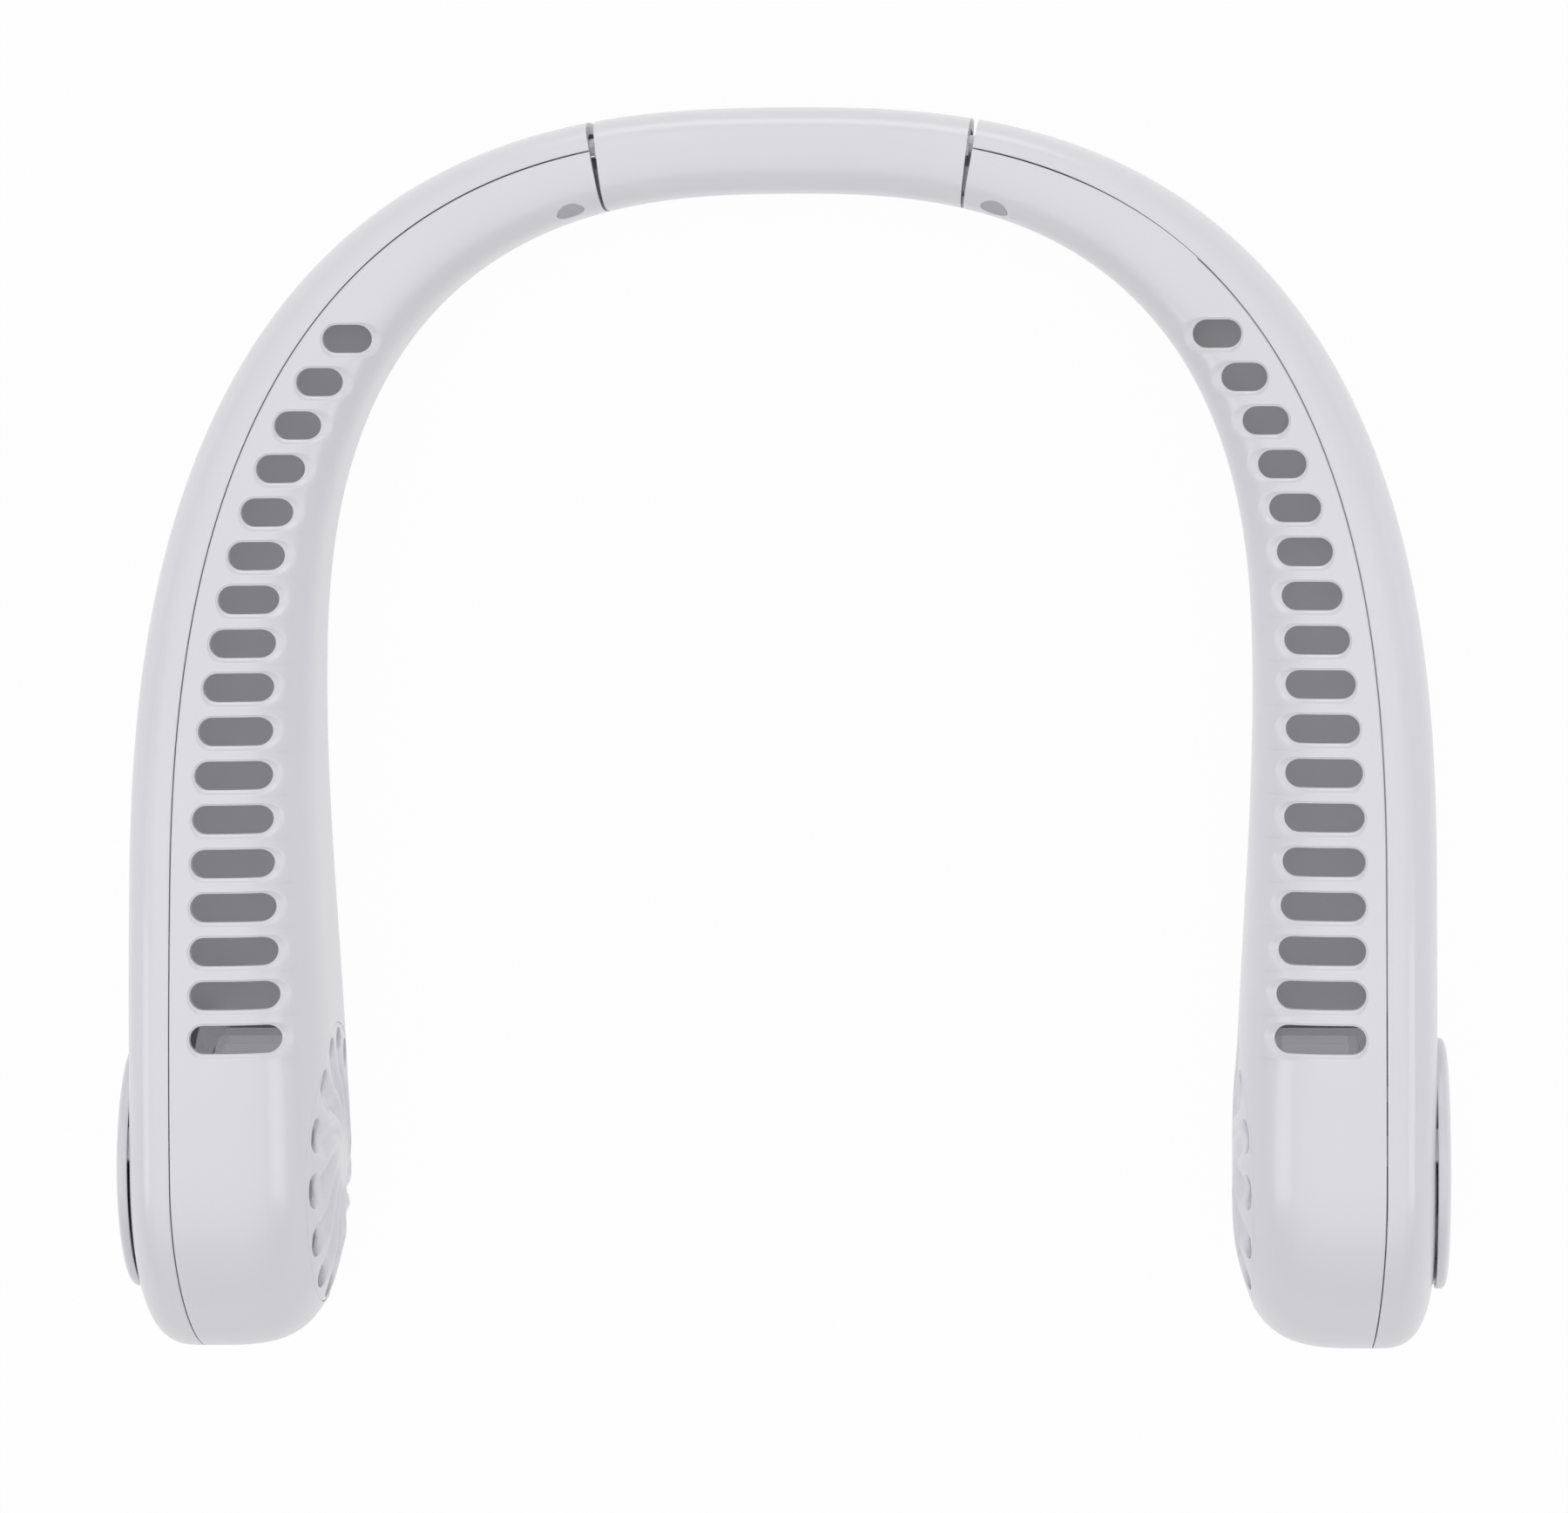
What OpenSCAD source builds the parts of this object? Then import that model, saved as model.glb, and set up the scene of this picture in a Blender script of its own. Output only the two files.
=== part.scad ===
// Electric neck fan: a U-shaped collar with a hollow arm on each side.
// Each arm holds a fan in its round front end, an air duct with outlet slots along its
// top, and a battery below the duct. A rear bridge joins the arms by two upright hinges.
// Millimetres. X runs to the wearer's right, +Y to the back of the neck, +Z up.
// The origin is under the middle of the whole object, on the surface it lies on.
// Every piece is drawn for the right arm, and the left one is its mirror image.

/* [Plan outline] */
// From the middle line to the outside of an arm
half_span = 100.2; // [98:0.1:103]
// From the front of the fan ends to the back of the bridge
overall_depth = 191.4; // [188:0.1:198]
// Share of the depth from the front to where the arms are widest apart
wide_share = 0.366; // [0.356:0.002:0.376]
// Squareness of the outer outline
outer_power = 2.6; // [2.4:0.05:2.8]
// Thickness of an arm at its fan
arm_t = 30.9; // [30.4:0.1:32]
// Share of the depth from the front to where the neck opening is widest
neck_share = 0.53; // [0.524:0.002:0.54]
// Thickness of the bridge, front to back
bridge_t = 13.3; // [13:0.1:14.5]
// Squareness of the neck opening
neck_power = 2.6; // [2.4:0.05:2.8]
// How much closer the fan ends come to the neck than the arms
neck_inset = 2.9; // [1:0.1:3]

/* [Side profile] */
// Radius of the round fan ends
end_r = 28.5; // [28:0.1:30]
// Height of the bridge
rear_h = 27; // [26:0.1:32]
// How far the underside of an arm arches off the table
belly_lift = 2.5; // [0:0.1:4]
// Depth of the flats that the fan ends and the bridge lie on
foot_flat = 0.3; // [0.2:0.05:0.5]

/* [Section] */
// Wall thickness of the shells
wall = 1.8; // [1.5:0.1:2.2]
// From the outside of an arm to its parting line, at the fans
crest_front = 8.2; // [7.6:0.1:8.6]
// The same at the bridge
crest_rear = 4.5; // [4.2:0.1:5]
// Extra width of the outer shell at the very front
crest_tip = 1.8; // [0:0.1:2.5]
// Gap between the two shells of an arm
parting_gap = 0.2; // [0.1:0.05:0.3]
// Squareness of the outer half of the section
outside_power = 3.4; // [3:0.1:4]
// Squareness of the neck half of the section
inside_power = 3.6; // [3.5:0.1:4]

/* [Outlet slots] */
// Slots in each arm
slot_count = 17; // [8:1:17]
// Share of the depth from the back of the bridge to the rearmost slot
slot_rear_share = 0.1844; // [0.184:0.0002:0.2]
// From a fan's axis to the frontmost slot
slot_front_gap = 22; // [21:0.1:23.6]
// Share of the distance from slot to slot that is open
slot_open_share = 0.65; // [0.57:0.002:0.67]
// From the outside of the arm to a slot
slot_outer_margin = 11.3; // [11:0.1:12.2]
// From the neck side of the arm to a slot, at the front
slot_neck_margin = 5.3; // [4.8:0.1:6]
// The same at the rearmost slot
slot_neck_margin_rear = 4.4; // [4.1:0.1:4.9]
// Depth of the pocket round a slot
pocket_depth = 0.9; // [0.5:0.05:1.1]
// How far the pocket reaches past the slot towards the neck
pocket_reach = 1.9; // [1.4:0.1:2.1]
// Rim of the pocket on the slot's other sides
pocket_rim = 0.55; // [0.3:0.05:0.7]

/* [Intake grille] */
// Radius of the grille as a share of the round end's
grille_share = 0.76; // [0.745:0.001:0.77]
// Thickness of the grille
grille_t = 1.4; // [1.2:0.1:1.6]
// Petal-shaped openings in the grille
petal_count = 14; // [12:1:16]
// Inner end of a petal
petal_inner_r = 7.4; // [7.2:0.1:8]
// Width of the rim outside the petals
petal_rim = 1.7; // [1.6:0.1:2.4]
// Turn of a petal from its inner end to its outer end, in degrees
petal_swirl = 32; // [20:1:40]
// Width of the vane between two petals
vane_w = 1.6; // [1.4:0.1:2]
// How far the vanes stand proud of the arm
vane_proud = 0.7; // [0.4:0.1:0.9]
// Radius of the domed hub
hub_r = 6.4; // [6:0.1:6.8]
// How far the hub stands proud of the arm
hub_proud = 1.1; // [0.9:0.1:1.3]

/* [Cover plate] */
// Radius of the cover plate as a share of the round end's
plate_share = 0.677; // [0.66:0.001:0.687]
// Thickness of the cover plate
plate_t = 1.4; // [1.3:0.1:1.6]
// Air gap under the plate's rim
plate_gap = 0.55; // [0.45:0.05:0.7]
// Width of the ribs that carry the plate
plate_rib_w = 5.2; // [4.8:0.1:5.4]
// Turn of those ribs away from the top, in degrees
plate_rib_turn = 16; // [12:1:20]

/* [Impeller and motor] */
// Radius of the impeller as a share of the round end's
impeller_share = 0.6877; // [0.674:0.0001:0.7]
// Width of the impeller along its axis
impeller_w = 12.2; // [11.6:0.1:12.5]
// Blades of the impeller
blade_count = 15; // [9:1:17]
// Thickness of a blade
blade_t = 0.9; // [0.8:0.05:1.1]
// Share of the way from the impeller's hub to its rim where the intake eye ends
eye_share = 0.41; // [0.34:0.01:0.45]
// Radius of the motor shaft
shaft_r = 1; // [0.9:0.05:1.1]
// Radius of the motor's rotor can
can_r = 10.1; // [9.8:0.1:10.2]
// Clearance between the shaft and its bearings
shaft_fit = 0.03; // [0.02:0.01:0.05]

/* [Hinges] */
// Radius of the hinge pins
pin_r = 1; // [0.9:0.05:1.1]
// Radius of the hinge barrels
barrel_r = 2.2; // [2.1:0.05:2.3]
// Height of a barrel
barrel_h = 8.6; // [8:0.1:9]
// Clearance between a pin and its barrel
pin_fit = 0.05; // [0.03:0.01:0.08]
// Half the length of the bridge, along its outside
bridge_half = 29.1; // [28.5:0.1:30]
// Gap between bridge and arm on the outside
joint_gap_outer = 1.25; // [1.2:0.05:1.4]
// Gap between bridge and arm on the neck side
joint_gap_neck = 0.4; // [0.35:0.05:0.5]
// Radius of the rubber plugs beside the hinges
plug_r = 2; // [1.8:0.1:2.1]

/* [Electrics] */
// Share of the bend, front to back, that a battery reaches
battery_share = 0.408; // [0.38:0.002:0.416]
// Width of a battery
battery_w = 13; // [12:0.1:13.2]
// Thickness of a battery
battery_t = 10.4; // [9:0.1:10.6]
// Height of the duct floor's underside above the table
duct_floor_z = 18.4; // [18.2:0.1:18.8]
// Thickness of the duct floor
duct_floor_t = 1.2; // [1:0.1:1.4]
// Radius of the power button
button_r = 4.6; // [4.2:0.1:4.8]
// Travel of the power button
button_travel = 0.7; // [0.5:0.05:0.75]
// Width of the mouth of the charging socket
usb_w = 8.9; // [8.9:0.05:9]
// Height of the mouth of the charging socket
usb_h = 3.2; // [3.15:0.05:3.3]

/* [Hidden] */
sides = ["left", "right"];
both = ["inner_shell", "outer_shell", "intake_grille", "cover_plate", "fan_scroll", "duct_floor",
    "battery", "bearing_tube", "motor_bearings", "stator_core", "stator_coils", "hinge_bracket",
    "hinge_pin", "hinge_screw", "screw_plug", "shell_screws", "arm_ribbon", "impeller",
    "rotor_can", "rotor_magnet", "motor_shaft", "hinge_knuckle"];
single = ["bridge_shell", "bridge_ribbon", "control_board", "tact_switch", "light_pipe",
    "charge_board", "usb_socket", "power_button"];

white = "#e9ecee";
shade_white = "#d5d9dc";
grey = "#b9bcbe";
steel = "#8f9498";
copper = "#b87333";
dark = "#2e3236";
green = "#2f6b45";
milky = "#dfe8ea";

// Fineness of curves
$fn = 64;
// How far every cut runs past the face it opens
overrun = 1;
// Clearance between pieces that seat against each other
seat_gap = 0.25;

quarter_turn = 90;

// Plan outline
rear_y = overall_depth / 2;
wide_y = wide_share * overall_depth - rear_y;
neck_y = neck_share * overall_depth - rear_y;
neck_half_w = half_span + neck_inset - arm_t;
outer_reach = rear_y - wide_y;
neck_reach = rear_y - bridge_t - neck_y;
// The very tip of a fan end is cut flat at this angle, so that its section doesn't vanish
tip_angle = 84;
fan_y = -rear_y + end_r * sin(tip_angle);

// Sections of the arm: steps round the fan end, along the straight and round the neck
tip_steps = 8;
straight_steps = 5;
bend_steps = 22;
bridge_steps = 6;
// Steps from the crest of a section to its side
quarter_steps = 8;

function clamp01(t) = max(0, min(1, t));
function smooth(t) = t * t * (3 - 2 * t);
function reversed(list) = [for (i = [len(list) - 1 : -1 : 0]) list[i]];
function joined(lists) = [for (list = lists) for (item = list) item];

// Share of the way from the fan axis to the back of the bridge
function back_share(y) = clamp01((y - fan_y) / (rear_y - fan_y));
function half_height(y) = end_r + (rear_h / 2 - end_r) * smooth(back_share(y));
function lift(y) = belly_lift * pow(sin(180 * back_share(y)), 2);
function mid_z(y) = half_height(y) + lift(y) - foot_flat;
function crest_inset(y) = crest_front + (crest_rear - crest_front) * pow(back_share(y), 4);

// X of the outer outline and of the neck opening at a place along Y
function outer_x(y) =
    half_span * pow(1 - pow(clamp01((y - wide_y) / outer_reach), outer_power), 1 / outer_power);
function neck_x(y) = y > neck_y
    ? neck_half_w * pow(1 - pow(clamp01((y - neck_y) / neck_reach), neck_power), 1 / neck_power)
    : neck_half_w - neck_inset * smooth(clamp01((neck_y - y) / (neck_y - fan_y)));
// Y of both outlines at a place along X, at the back
function outer_y(x) = wide_y
    + outer_reach * pow(1 - pow(abs(x) / half_span, outer_power), 1 / outer_power);
function neck_back_y(x) = neck_y
    + neck_reach * pow(1 - pow(abs(x) / neck_half_w, neck_power), 1 / neck_power);

// The outer outline as a point and a direction square to it, by an angle from the side (0)
// to the back (90)
function outline_point(a) = [half_span * pow(cos(a), 2 / outer_power),
    wide_y + outer_reach * pow(sin(a), 2 / outer_power)];
function outline_normal(a) =
    let (v = [pow(cos(a), 2 - 2 / outer_power) / half_span,
        pow(sin(a), 2 - 2 / outer_power) / outer_reach])
    v / norm(v);

// Where a line from the outer outline meets the neck opening, by halving
function in_neck(p) = p.x < neck_x(p.y) && p.y < rear_y - bridge_t;
function neck_hit(p, d, near, far, turns = 26) =
    let (middle = (near + far) / 2)
    turns == 0 ? p - d * middle
    : in_neck(p - d * middle) ? neck_hit(p, d, near, middle, turns - 1)
    : neck_hit(p, d, middle, far, turns - 1);

// A station is a section of the arm: its outer point, its neck point and its tip angle
joint_x = bridge_half + joint_gap_outer;
joint_angle = acos(pow(joint_x / half_span, outer_power / 2));
tip_stations = [for (i = [0 : tip_steps - 1])
    [[half_span, fan_y], [neck_x(fan_y), fan_y], tip_angle * (1 - i / tip_steps)]];
straight_stations = [for (i = [0 : straight_steps - 1])
    let (y = fan_y + (wide_y - fan_y) * i / straight_steps)
    [[half_span, y], [neck_x(y), y], 0]];
bend_stations = [for (i = [0 : bend_steps])
    let (a = joint_angle * i / bend_steps, p = outline_point(a))
    [p, neck_hit(p, outline_normal(a), 0, half_span / 2), 0]];
arm_stations = concat(tip_stations, straight_stations, bend_stations);
duct_stations = concat(straight_stations, bend_stations);

arm_end = arm_stations[len(arm_stations) - 1];
bridge_neck_half = arm_end[1].x - joint_gap_neck;
bridge_stations = [for (i = [-bridge_steps : bridge_steps])
    let (t = i / bridge_steps, xo = -bridge_half * t, xn = -bridge_neck_half * t)
    [[xo, outer_y(xo)], [xn, neck_back_y(xn)], 0]];

// A point of the skin at a depth t below the surface. Half +1 is the outer half of the
// section and -1 its neck half. Step k runs from the crest (+quarter_steps) over the side
// (0) to the belly (-quarter_steps).
function skin_point(station, half, k, t, gap) =
    let (outer = station[0], inner = station[1], beta = station[2],
        across = (outer - inner) / norm(outer - inner),
        tip_share = sin(beta),
        crest = crest_inset(outer.y) + crest_tip * tip_share * tip_share,
        semi = (half > 0 ? crest : norm(outer - inner) - crest) - t,
        power = half > 0 ? outside_power : inside_power,
        start = asin(pow(tip_share, power / 2)),
        angle = start + (90 - start) * abs(k) / quarter_steps,
        reach = max(semi * pow(cos(angle), 2 / power), gap / 2),
        forward = (end_r - t) * tip_share,
        p = outer - across * (crest - half * reach),
        rise = (half_height(p.y) - t) * pow(sin(angle), 2 / power),
        z = sqrt(max(0, rise * rise - forward * forward)))
    [p.x, p.y - forward, mid_z(p.y) + sign(k) * z];

function skin(station, half, t, gap) =
    [for (k = [quarter_steps : -1 : -quarter_steps]) skin_point(station, half, k, t, gap)];

// Two triangles between four corners
function quad(a, b, c, d) = [[a, c, b], [a, d, c]];
function turned(faces, half) = half > 0 ? faces : [for (face = faces) reversed(face)];

// One shell of an arm: outer skin and inner skin, joined along the parting line, closed
// at the tip and open at the bridge
module half_shell(half) {
    ring = 2 * quarter_steps + 1;
    last = len(arm_stations) - 1;
    points = joined([for (station = arm_stations)
        concat(skin(station, half, 0, parting_gap), skin(station, half, wall, parting_gap))]);
    function outer_index(i, j) = i * 2 * ring + j;
    function inner_index(i, j) = outer_index(i, j) + ring;
    skins = [for (i = [0 : last - 1]) for (j = [0 : ring - 2]) concat(
        quad(outer_index(i, j), outer_index(i, j + 1),
            outer_index(i + 1, j + 1), outer_index(i + 1, j)),
        quad(inner_index(i, j), inner_index(i + 1, j),
            inner_index(i + 1, j + 1), inner_index(i, j + 1)))];
    rims = [for (i = [0 : last - 1]) concat(
        quad(outer_index(i, 0), outer_index(i + 1, 0), inner_index(i + 1, 0), inner_index(i, 0)),
        quad(outer_index(i, ring - 1), inner_index(i, ring - 1),
            inner_index(i + 1, ring - 1), outer_index(i + 1, ring - 1)))];
    mouth = [for (j = [0 : ring - 2])
        quad(outer_index(last, j), outer_index(last, j + 1),
            inner_index(last, j + 1), inner_index(last, j))];
    cap = [[for (j = [0 : ring - 1]) outer_index(0, j)],
        [for (j = [ring - 1 : -1 : 0]) inner_index(0, j)]];
    tip = quad(outer_index(0, ring - 1), outer_index(0, 0),
        inner_index(0, 0), inner_index(0, ring - 1));
    polyhedron(points, turned(concat(joined(skins), joined(rims), joined(mouth), cap, tip), half));
}

// The bridge: a tube with the arms' section, open at both ends
module bridge_tube(outside, inside) {
    ring = 4 * quarter_steps;
    last = len(bridge_stations) - 1;
    function loop(station, t) = concat(
        [for (k = [quarter_steps : -1 : 1 - quarter_steps]) skin_point(station, 1, k, t, 0)],
        [for (k = [-quarter_steps : quarter_steps - 1]) skin_point(station, -1, k, t, 0)]);
    points = joined([for (station = bridge_stations)
        concat(loop(station, outside), loop(station, inside))]);
    function outer_index(i, j) = i * 2 * ring + j % ring;
    function inner_index(i, j) = outer_index(i, j) + ring;
    skins = [for (i = [0 : last - 1]) for (j = [0 : ring - 1]) concat(
        quad(outer_index(i, j), outer_index(i, j + 1),
            outer_index(i + 1, j + 1), outer_index(i + 1, j)),
        quad(inner_index(i, j), inner_index(i + 1, j),
            inner_index(i + 1, j + 1), inner_index(i, j + 1)))];
    mouths = [for (j = [0 : ring - 1]) concat(
        quad(outer_index(last, j), outer_index(last, j + 1),
            inner_index(last, j + 1), inner_index(last, j)),
        quad(outer_index(0, j), inner_index(0, j),
            inner_index(0, j + 1), outer_index(0, j + 1)))];
    polyhedron(points, concat(joined(skins), joined(mouths)));
}

// Fan frame: Z runs along the fan's axis, from the neck side of the arm (0) outwards
fan_face_x = neck_x(fan_y);
crest_z = arm_t - crest_front;
module on_fan() {
    translate([fan_face_x, fan_y, mid_z(fan_y)]) rotate([0, 90, 0]) children();
}
// A direction in the fan frame, by the angle from straight back (0) to straight up (90)
function fan_dir(a) = [-sin(a), cos(a)];
// Axial place of the arm's neck face and outer face at a radius, at a depth t below it
function neck_face_z(r, t) =
    crest_z - (crest_z - t) * pow(1 - pow(r / (end_r - t), inside_power), 1 / inside_power);
function outer_face_z(r, t) =
    crest_z + (crest_front - t) * pow(1 - pow(r / (end_r - t), outside_power), 1 / outside_power);

// The hollow of a fan end as a half profile, shrunk by t from the outside
module hollow_profile(t, steps = 14) {
    neck_half = [for (i = [0 : steps]) let (a = 90 * i / steps)
        [(end_r - t) * pow(sin(a), 2 / inside_power),
            crest_z - (crest_z - t) * pow(cos(a), 2 / inside_power)]];
    outer_half = [for (i = [steps - 1 : -1 : 0]) let (a = 90 * i / steps)
        [(end_r - t) * pow(sin(a), 2 / outside_power),
            crest_z + (crest_front - t) * pow(cos(a), 2 / outside_power)]];
    polygon(concat(neck_half, outer_half));
}

// A flat slot with round ends, along X
module stadium(x1, x2, w) {
    translate([x1 + w / 2, 0]) circle(d = w);
    translate([x2 - w / 2, 0]) circle(d = w);
    translate([x1 + w / 2, -w / 2]) square([x2 - x1 - w, w]);
}

// Outlet slots: place, ends and surface height of each
last_slot = max(1, slot_count - 1);
slot_first_y = rear_y - slot_rear_share * overall_depth;
slot_pitch = (slot_first_y - fan_y - slot_front_gap) / last_slot;
slot_w = slot_open_share * slot_pitch;
function slot_y(i) = slot_first_y - slot_pitch * i;
function slot_neck_x(i) = neck_x(slot_y(i))
    + slot_neck_margin_rear + (slot_neck_margin - slot_neck_margin_rear) * i / last_slot;
function slot_outer_x(i) = outer_x(slot_y(i)) - slot_outer_margin;
// Height of the neck half's skin over the middle, at a depth t below the surface
function skin_rise(x, y, t) =
    let (crest = outer_x(y) - crest_inset(y), semi = crest - neck_x(y) - t)
    (half_height(y) - t) * pow(1 - pow(clamp01((crest - x) / semi), inside_power), 1 / inside_power);
function top_z(x, y) = mid_z(y) + skin_rise(x, y, 0);
function floor_z(x, y, t) = mid_z(y) - skin_rise(x, y, t);
function top_slope(x, y) = atan((top_z(x, y + slot_w / 2) - top_z(x, y - slot_w / 2)) / slot_w);

module outlet_slot(i) {
    y = slot_y(i);
    x1 = slot_neck_x(i);
    x2 = slot_outer_x(i);
    z = top_z((x1 + x2) / 2, y);
    translate([0, y, z]) rotate([top_slope((x1 + x2) / 2, y), 0, 0]) {
        translate([0, 0, -wall - 2 * overrun]) linear_extrude(wall + 4 * overrun)
            stadium(x1, x2, slot_w);
        translate([0, 0, -pocket_depth]) linear_extrude(pocket_depth + 2 * overrun)
            stadium(x1 - pocket_reach, x2 + pocket_rim, slot_w + 2 * pocket_rim);
    }
}

// Intake grille and its seat in the neck-side shell
grille_r = grille_share * end_r;
grille_ledge = 1.4;
grille_seat_z = neck_face_z(grille_r, 0) + grille_t + seat_gap;
grille_ring_t = 1.3;
petal_outer_r = grille_r - petal_rim;
petal_steps = 8;
petal_power = 6;

// Impeller and motor, as places along the fan's axis
impeller_r = impeller_share * end_r;
impeller_clear = 0.7;
impeller_front_z = grille_seat_z + grille_ring_t + impeller_clear;
impeller_back_z = impeller_front_z + impeller_w;
web_t = 1.2;
shroud_t = 0.9;
web_hole_share = 0.25;
hub_wall = 1;
can_t = 0.6;
can_fit = 0.05;
can_inset = 2.8;
can_recess = 0.3;
can_front_z = impeller_front_z + can_inset;
can_back_z = impeller_back_z - can_recess;
hub_outer_r = can_r + can_fit + hub_wall;
blade_root_gap = 1.3;
blade_inner_r = hub_outer_r + blade_root_gap;
eye_r = hub_outer_r + eye_share * (impeller_r - hub_outer_r);
web_hole_r = web_hole_share * (impeller_r - blade_inner_r);
blade_sweep = 38;
blade_curve = 1.3;
blade_steps = 6;
magnet_t = 1.05;
magnet_outer_r = can_r - can_t - can_fit / 2;
air_gap = 0.45;
stator_r = magnet_outer_r - magnet_t - air_gap;
stator_poles = 6;
stator_h = 4.8;
stator_inset = 2;
stator_z = can_front_z + stator_inset;
pole_w = 2.2;
pole_tip_t = 1;
coil_wall = 0.9;
tube_wall = 0.85;
bearing_r = 2.5;
bearing_h = 2;
tube_r = bearing_r + can_fit / 2 + tube_wall;
tube_inset = 1.3;
tube_front_z = can_front_z + tube_inset;
bearing_inset = 0.3;

// Fan scroll: spiral wall, back plate, screw bosses and board pegs
scroll_gap = 0.65;
scroll_t = 1.4;
scroll_z = impeller_back_z + scroll_gap;
scroll_back_z = scroll_z + scroll_t;
scroll_wall = 1.2;
tongue_gap = 1.3;
exit_gap = 2.8;
scroll_tongue_r = impeller_r + tongue_gap;
scroll_exit_r = impeller_r + exit_gap;
scroll_tongue_angle = -26;
scroll_exit_angle = -262;
scroll_steps = 28;
screw_ring_r = 11.9;
screw_count = 3;
screw_boss_r = 2.3;
screw_r = 0.85;
screw_fit = 0.02;
screw_head_r = 1.9;
screw_head_h = 1.1;
head_recess_r = screw_head_r + seat_gap;
window_gap = 0.4;
window_rim = 1.2;
window_inner_r = screw_ring_r + screw_boss_r + window_gap;
window_outer_r = impeller_r - window_rim;
window_share = 0.62;

// Outer shell: seat of the cover plate
shell_inside_z = arm_t - wall;
shell_boss_r = 2.8;
shell_boss_h = 1.6;
head_sunk = 0.35;
shell_boss_z = shell_inside_z - shell_boss_h;
shell_head_z = arm_t - screw_head_h - head_sunk;
plate_r = plate_share * end_r;
vent_rim = 1.7;
vent_w = 2.6;
vent_outer_r = plate_r - vent_rim;
vent_inner_r = vent_outer_r - vent_w;
vent_margin = 15;
rib_count = 4;
rib_start = quarter_turn - plate_rib_turn;
rib_inner_r = vent_inner_r;
rib_setback = 0.8;
rib_outer_r = plate_r - rib_setback;
peg_r = 1.3;
peg_ring_r = 8.2;
peg_proud = 0.8;
peg_l = wall + peg_proud;
peg_fit = 0.05;
plate_under_z = arm_t + plate_gap;
plate_back_gap = 0.1;
plate_rim_z = max(outer_face_z(plate_r, 0) + plate_gap, arm_t + plate_back_gap);
plate_top_z = plate_under_z + plate_t;
plate_power = 5;

// Power button, its switch and its board
button_fit = 0.2;
button_flange = 0.8;
button_flange_t = 0.9;
button_sunk = 0.05;
button_top_z = plate_top_z - button_sunk;
button_dish = 0.5;
dish_steps = 6;
button_under_z = shell_inside_z - seat_gap - button_flange_t;
switch_gap = 0.05;
switch_w = 6;
switch_h = 3.2;
switch_stem_r = 1.6;
switch_stem_h = 0.35;
board_t = 1;
board_r = 9.4;
board_z = button_under_z - button_travel - switch_gap - switch_stem_h - switch_h - board_t;
board_peg_r = 1.2;
board_peg_ring = 7.6;
led_ring_r = 7.2;
led_r = 0.9;
led_flange = 0.5;
led_h = 0.7;
led_angle = rib_start;
chip_x = 5;
chip_w = 3;
chip_h = 0.8;

// Charging socket and its board, in the underside of the right arm
usb_in = 17.4;
usb_front = 3.4;
usb_x = half_span - usb_in;
usb_y = wide_y - usb_front;
usb_l = 6.2;
usb_sunk = 0.5;
usb_z = floor_z(usb_x, usb_y, 0) + usb_sunk;
usb_clear = 0.15;
usb_wall = 0.35;
usb_tongue_h = 0.7;
charge_board_t = 1;
charge_board_z = usb_z + usb_l + switch_gap;
charge_board_l = 11;
charge_board_w = 13;
charge_post_r = 0.9;
charge_post_x = 5.4;

// Duct floor and battery
duct_gap = 0.35;
duct_margin = wall + duct_gap;
duct_front_y = fan_y + scroll_exit_r;
duct_last = 15;
battery_in = 16;
battery_back = 5.6;
battery_x = half_span - battery_in;
battery_y = wide_y + battery_back;
battery_l = battery_share * outer_reach - battery_back;
battery_round = 2.4;
battery_top_z = duct_floor_z - seat_gap;
tab_t = 0.8;
tab_l = 2.5;

// Hinges: axis, barrel, ears and bracket, set out from the end section of the arm
barrel_gap = 0.5;
hinge_inset = wall + barrel_r + barrel_gap;
end_across = (arm_end[0] - arm_end[1]) / norm(arm_end[0] - arm_end[1]);
end_along = [end_across.y, -end_across.x];
hinge_xy = arm_end[1] + end_across * hinge_inset - end_along * joint_gap_neck / 2;
hinge_z = mid_z(rear_y);
end_angle = atan2(end_across.y, end_across.x);
ear_gap = 0.3;
ear_h = 2.6;
ear_step = 0.3;
ear_r = barrel_r - ear_step;
pin_press = 0.01;
pin_l = barrel_h + 2 * ear_gap + 2 * ear_h;
bracket_t = 1.4;
bracket_gap = 0.5;
bracket_l = 8.6;
foot_t = 1.7;
foot_h = 7.6;
tongue_w = 3;
knuckle_l = 5;
// Block between the bridge's two sides, and block between its top and underside
knuckle_h = 13;
knuckle_neck_x = -2.2;
knuckle_outer_x = 6;
knuckle_tall_h = 22.2;
knuckle_tall_neck_x = 1.4;
knuckle_tall_outer_x = 5.8;
// Distance of the hinge screw from the hinge axis, along the arm
screw_back = 6.4;
hinge_screw_r = 0.8;
hinge_screw_fit = 0.1;
hinge_head_r = 1.6;
hinge_head_h = 0.65;
plug_t = 0.6;
plug_fit = 0.05;

// Flat wires
ribbon_t = 0.8;
ribbon_h = 4;
ribbon_gap = 0.3;
ribbon_first = 9;
ribbon_end_clear = 2;

// Hinge frame: X runs outwards across the arm, Y to the bridge, Z up
module on_hinge() {
    translate([hinge_xy.x, hinge_xy.y, hinge_z]) rotate([0, 0, end_angle]) children();
}

// A ring sector round the fan's axis
module ring_sector(inner, outer, h, start, sweep) {
    rotate([0, 0, start + 90]) rotate_extrude(angle = sweep) translate([inner, 0]) square([outer - inner, h]);
}

// Everything below the surface that the object lies on
module below_table() {
    translate([-half_span, -rear_y, -end_r]) cube([2 * half_span, overall_depth, end_r]);
}

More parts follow.
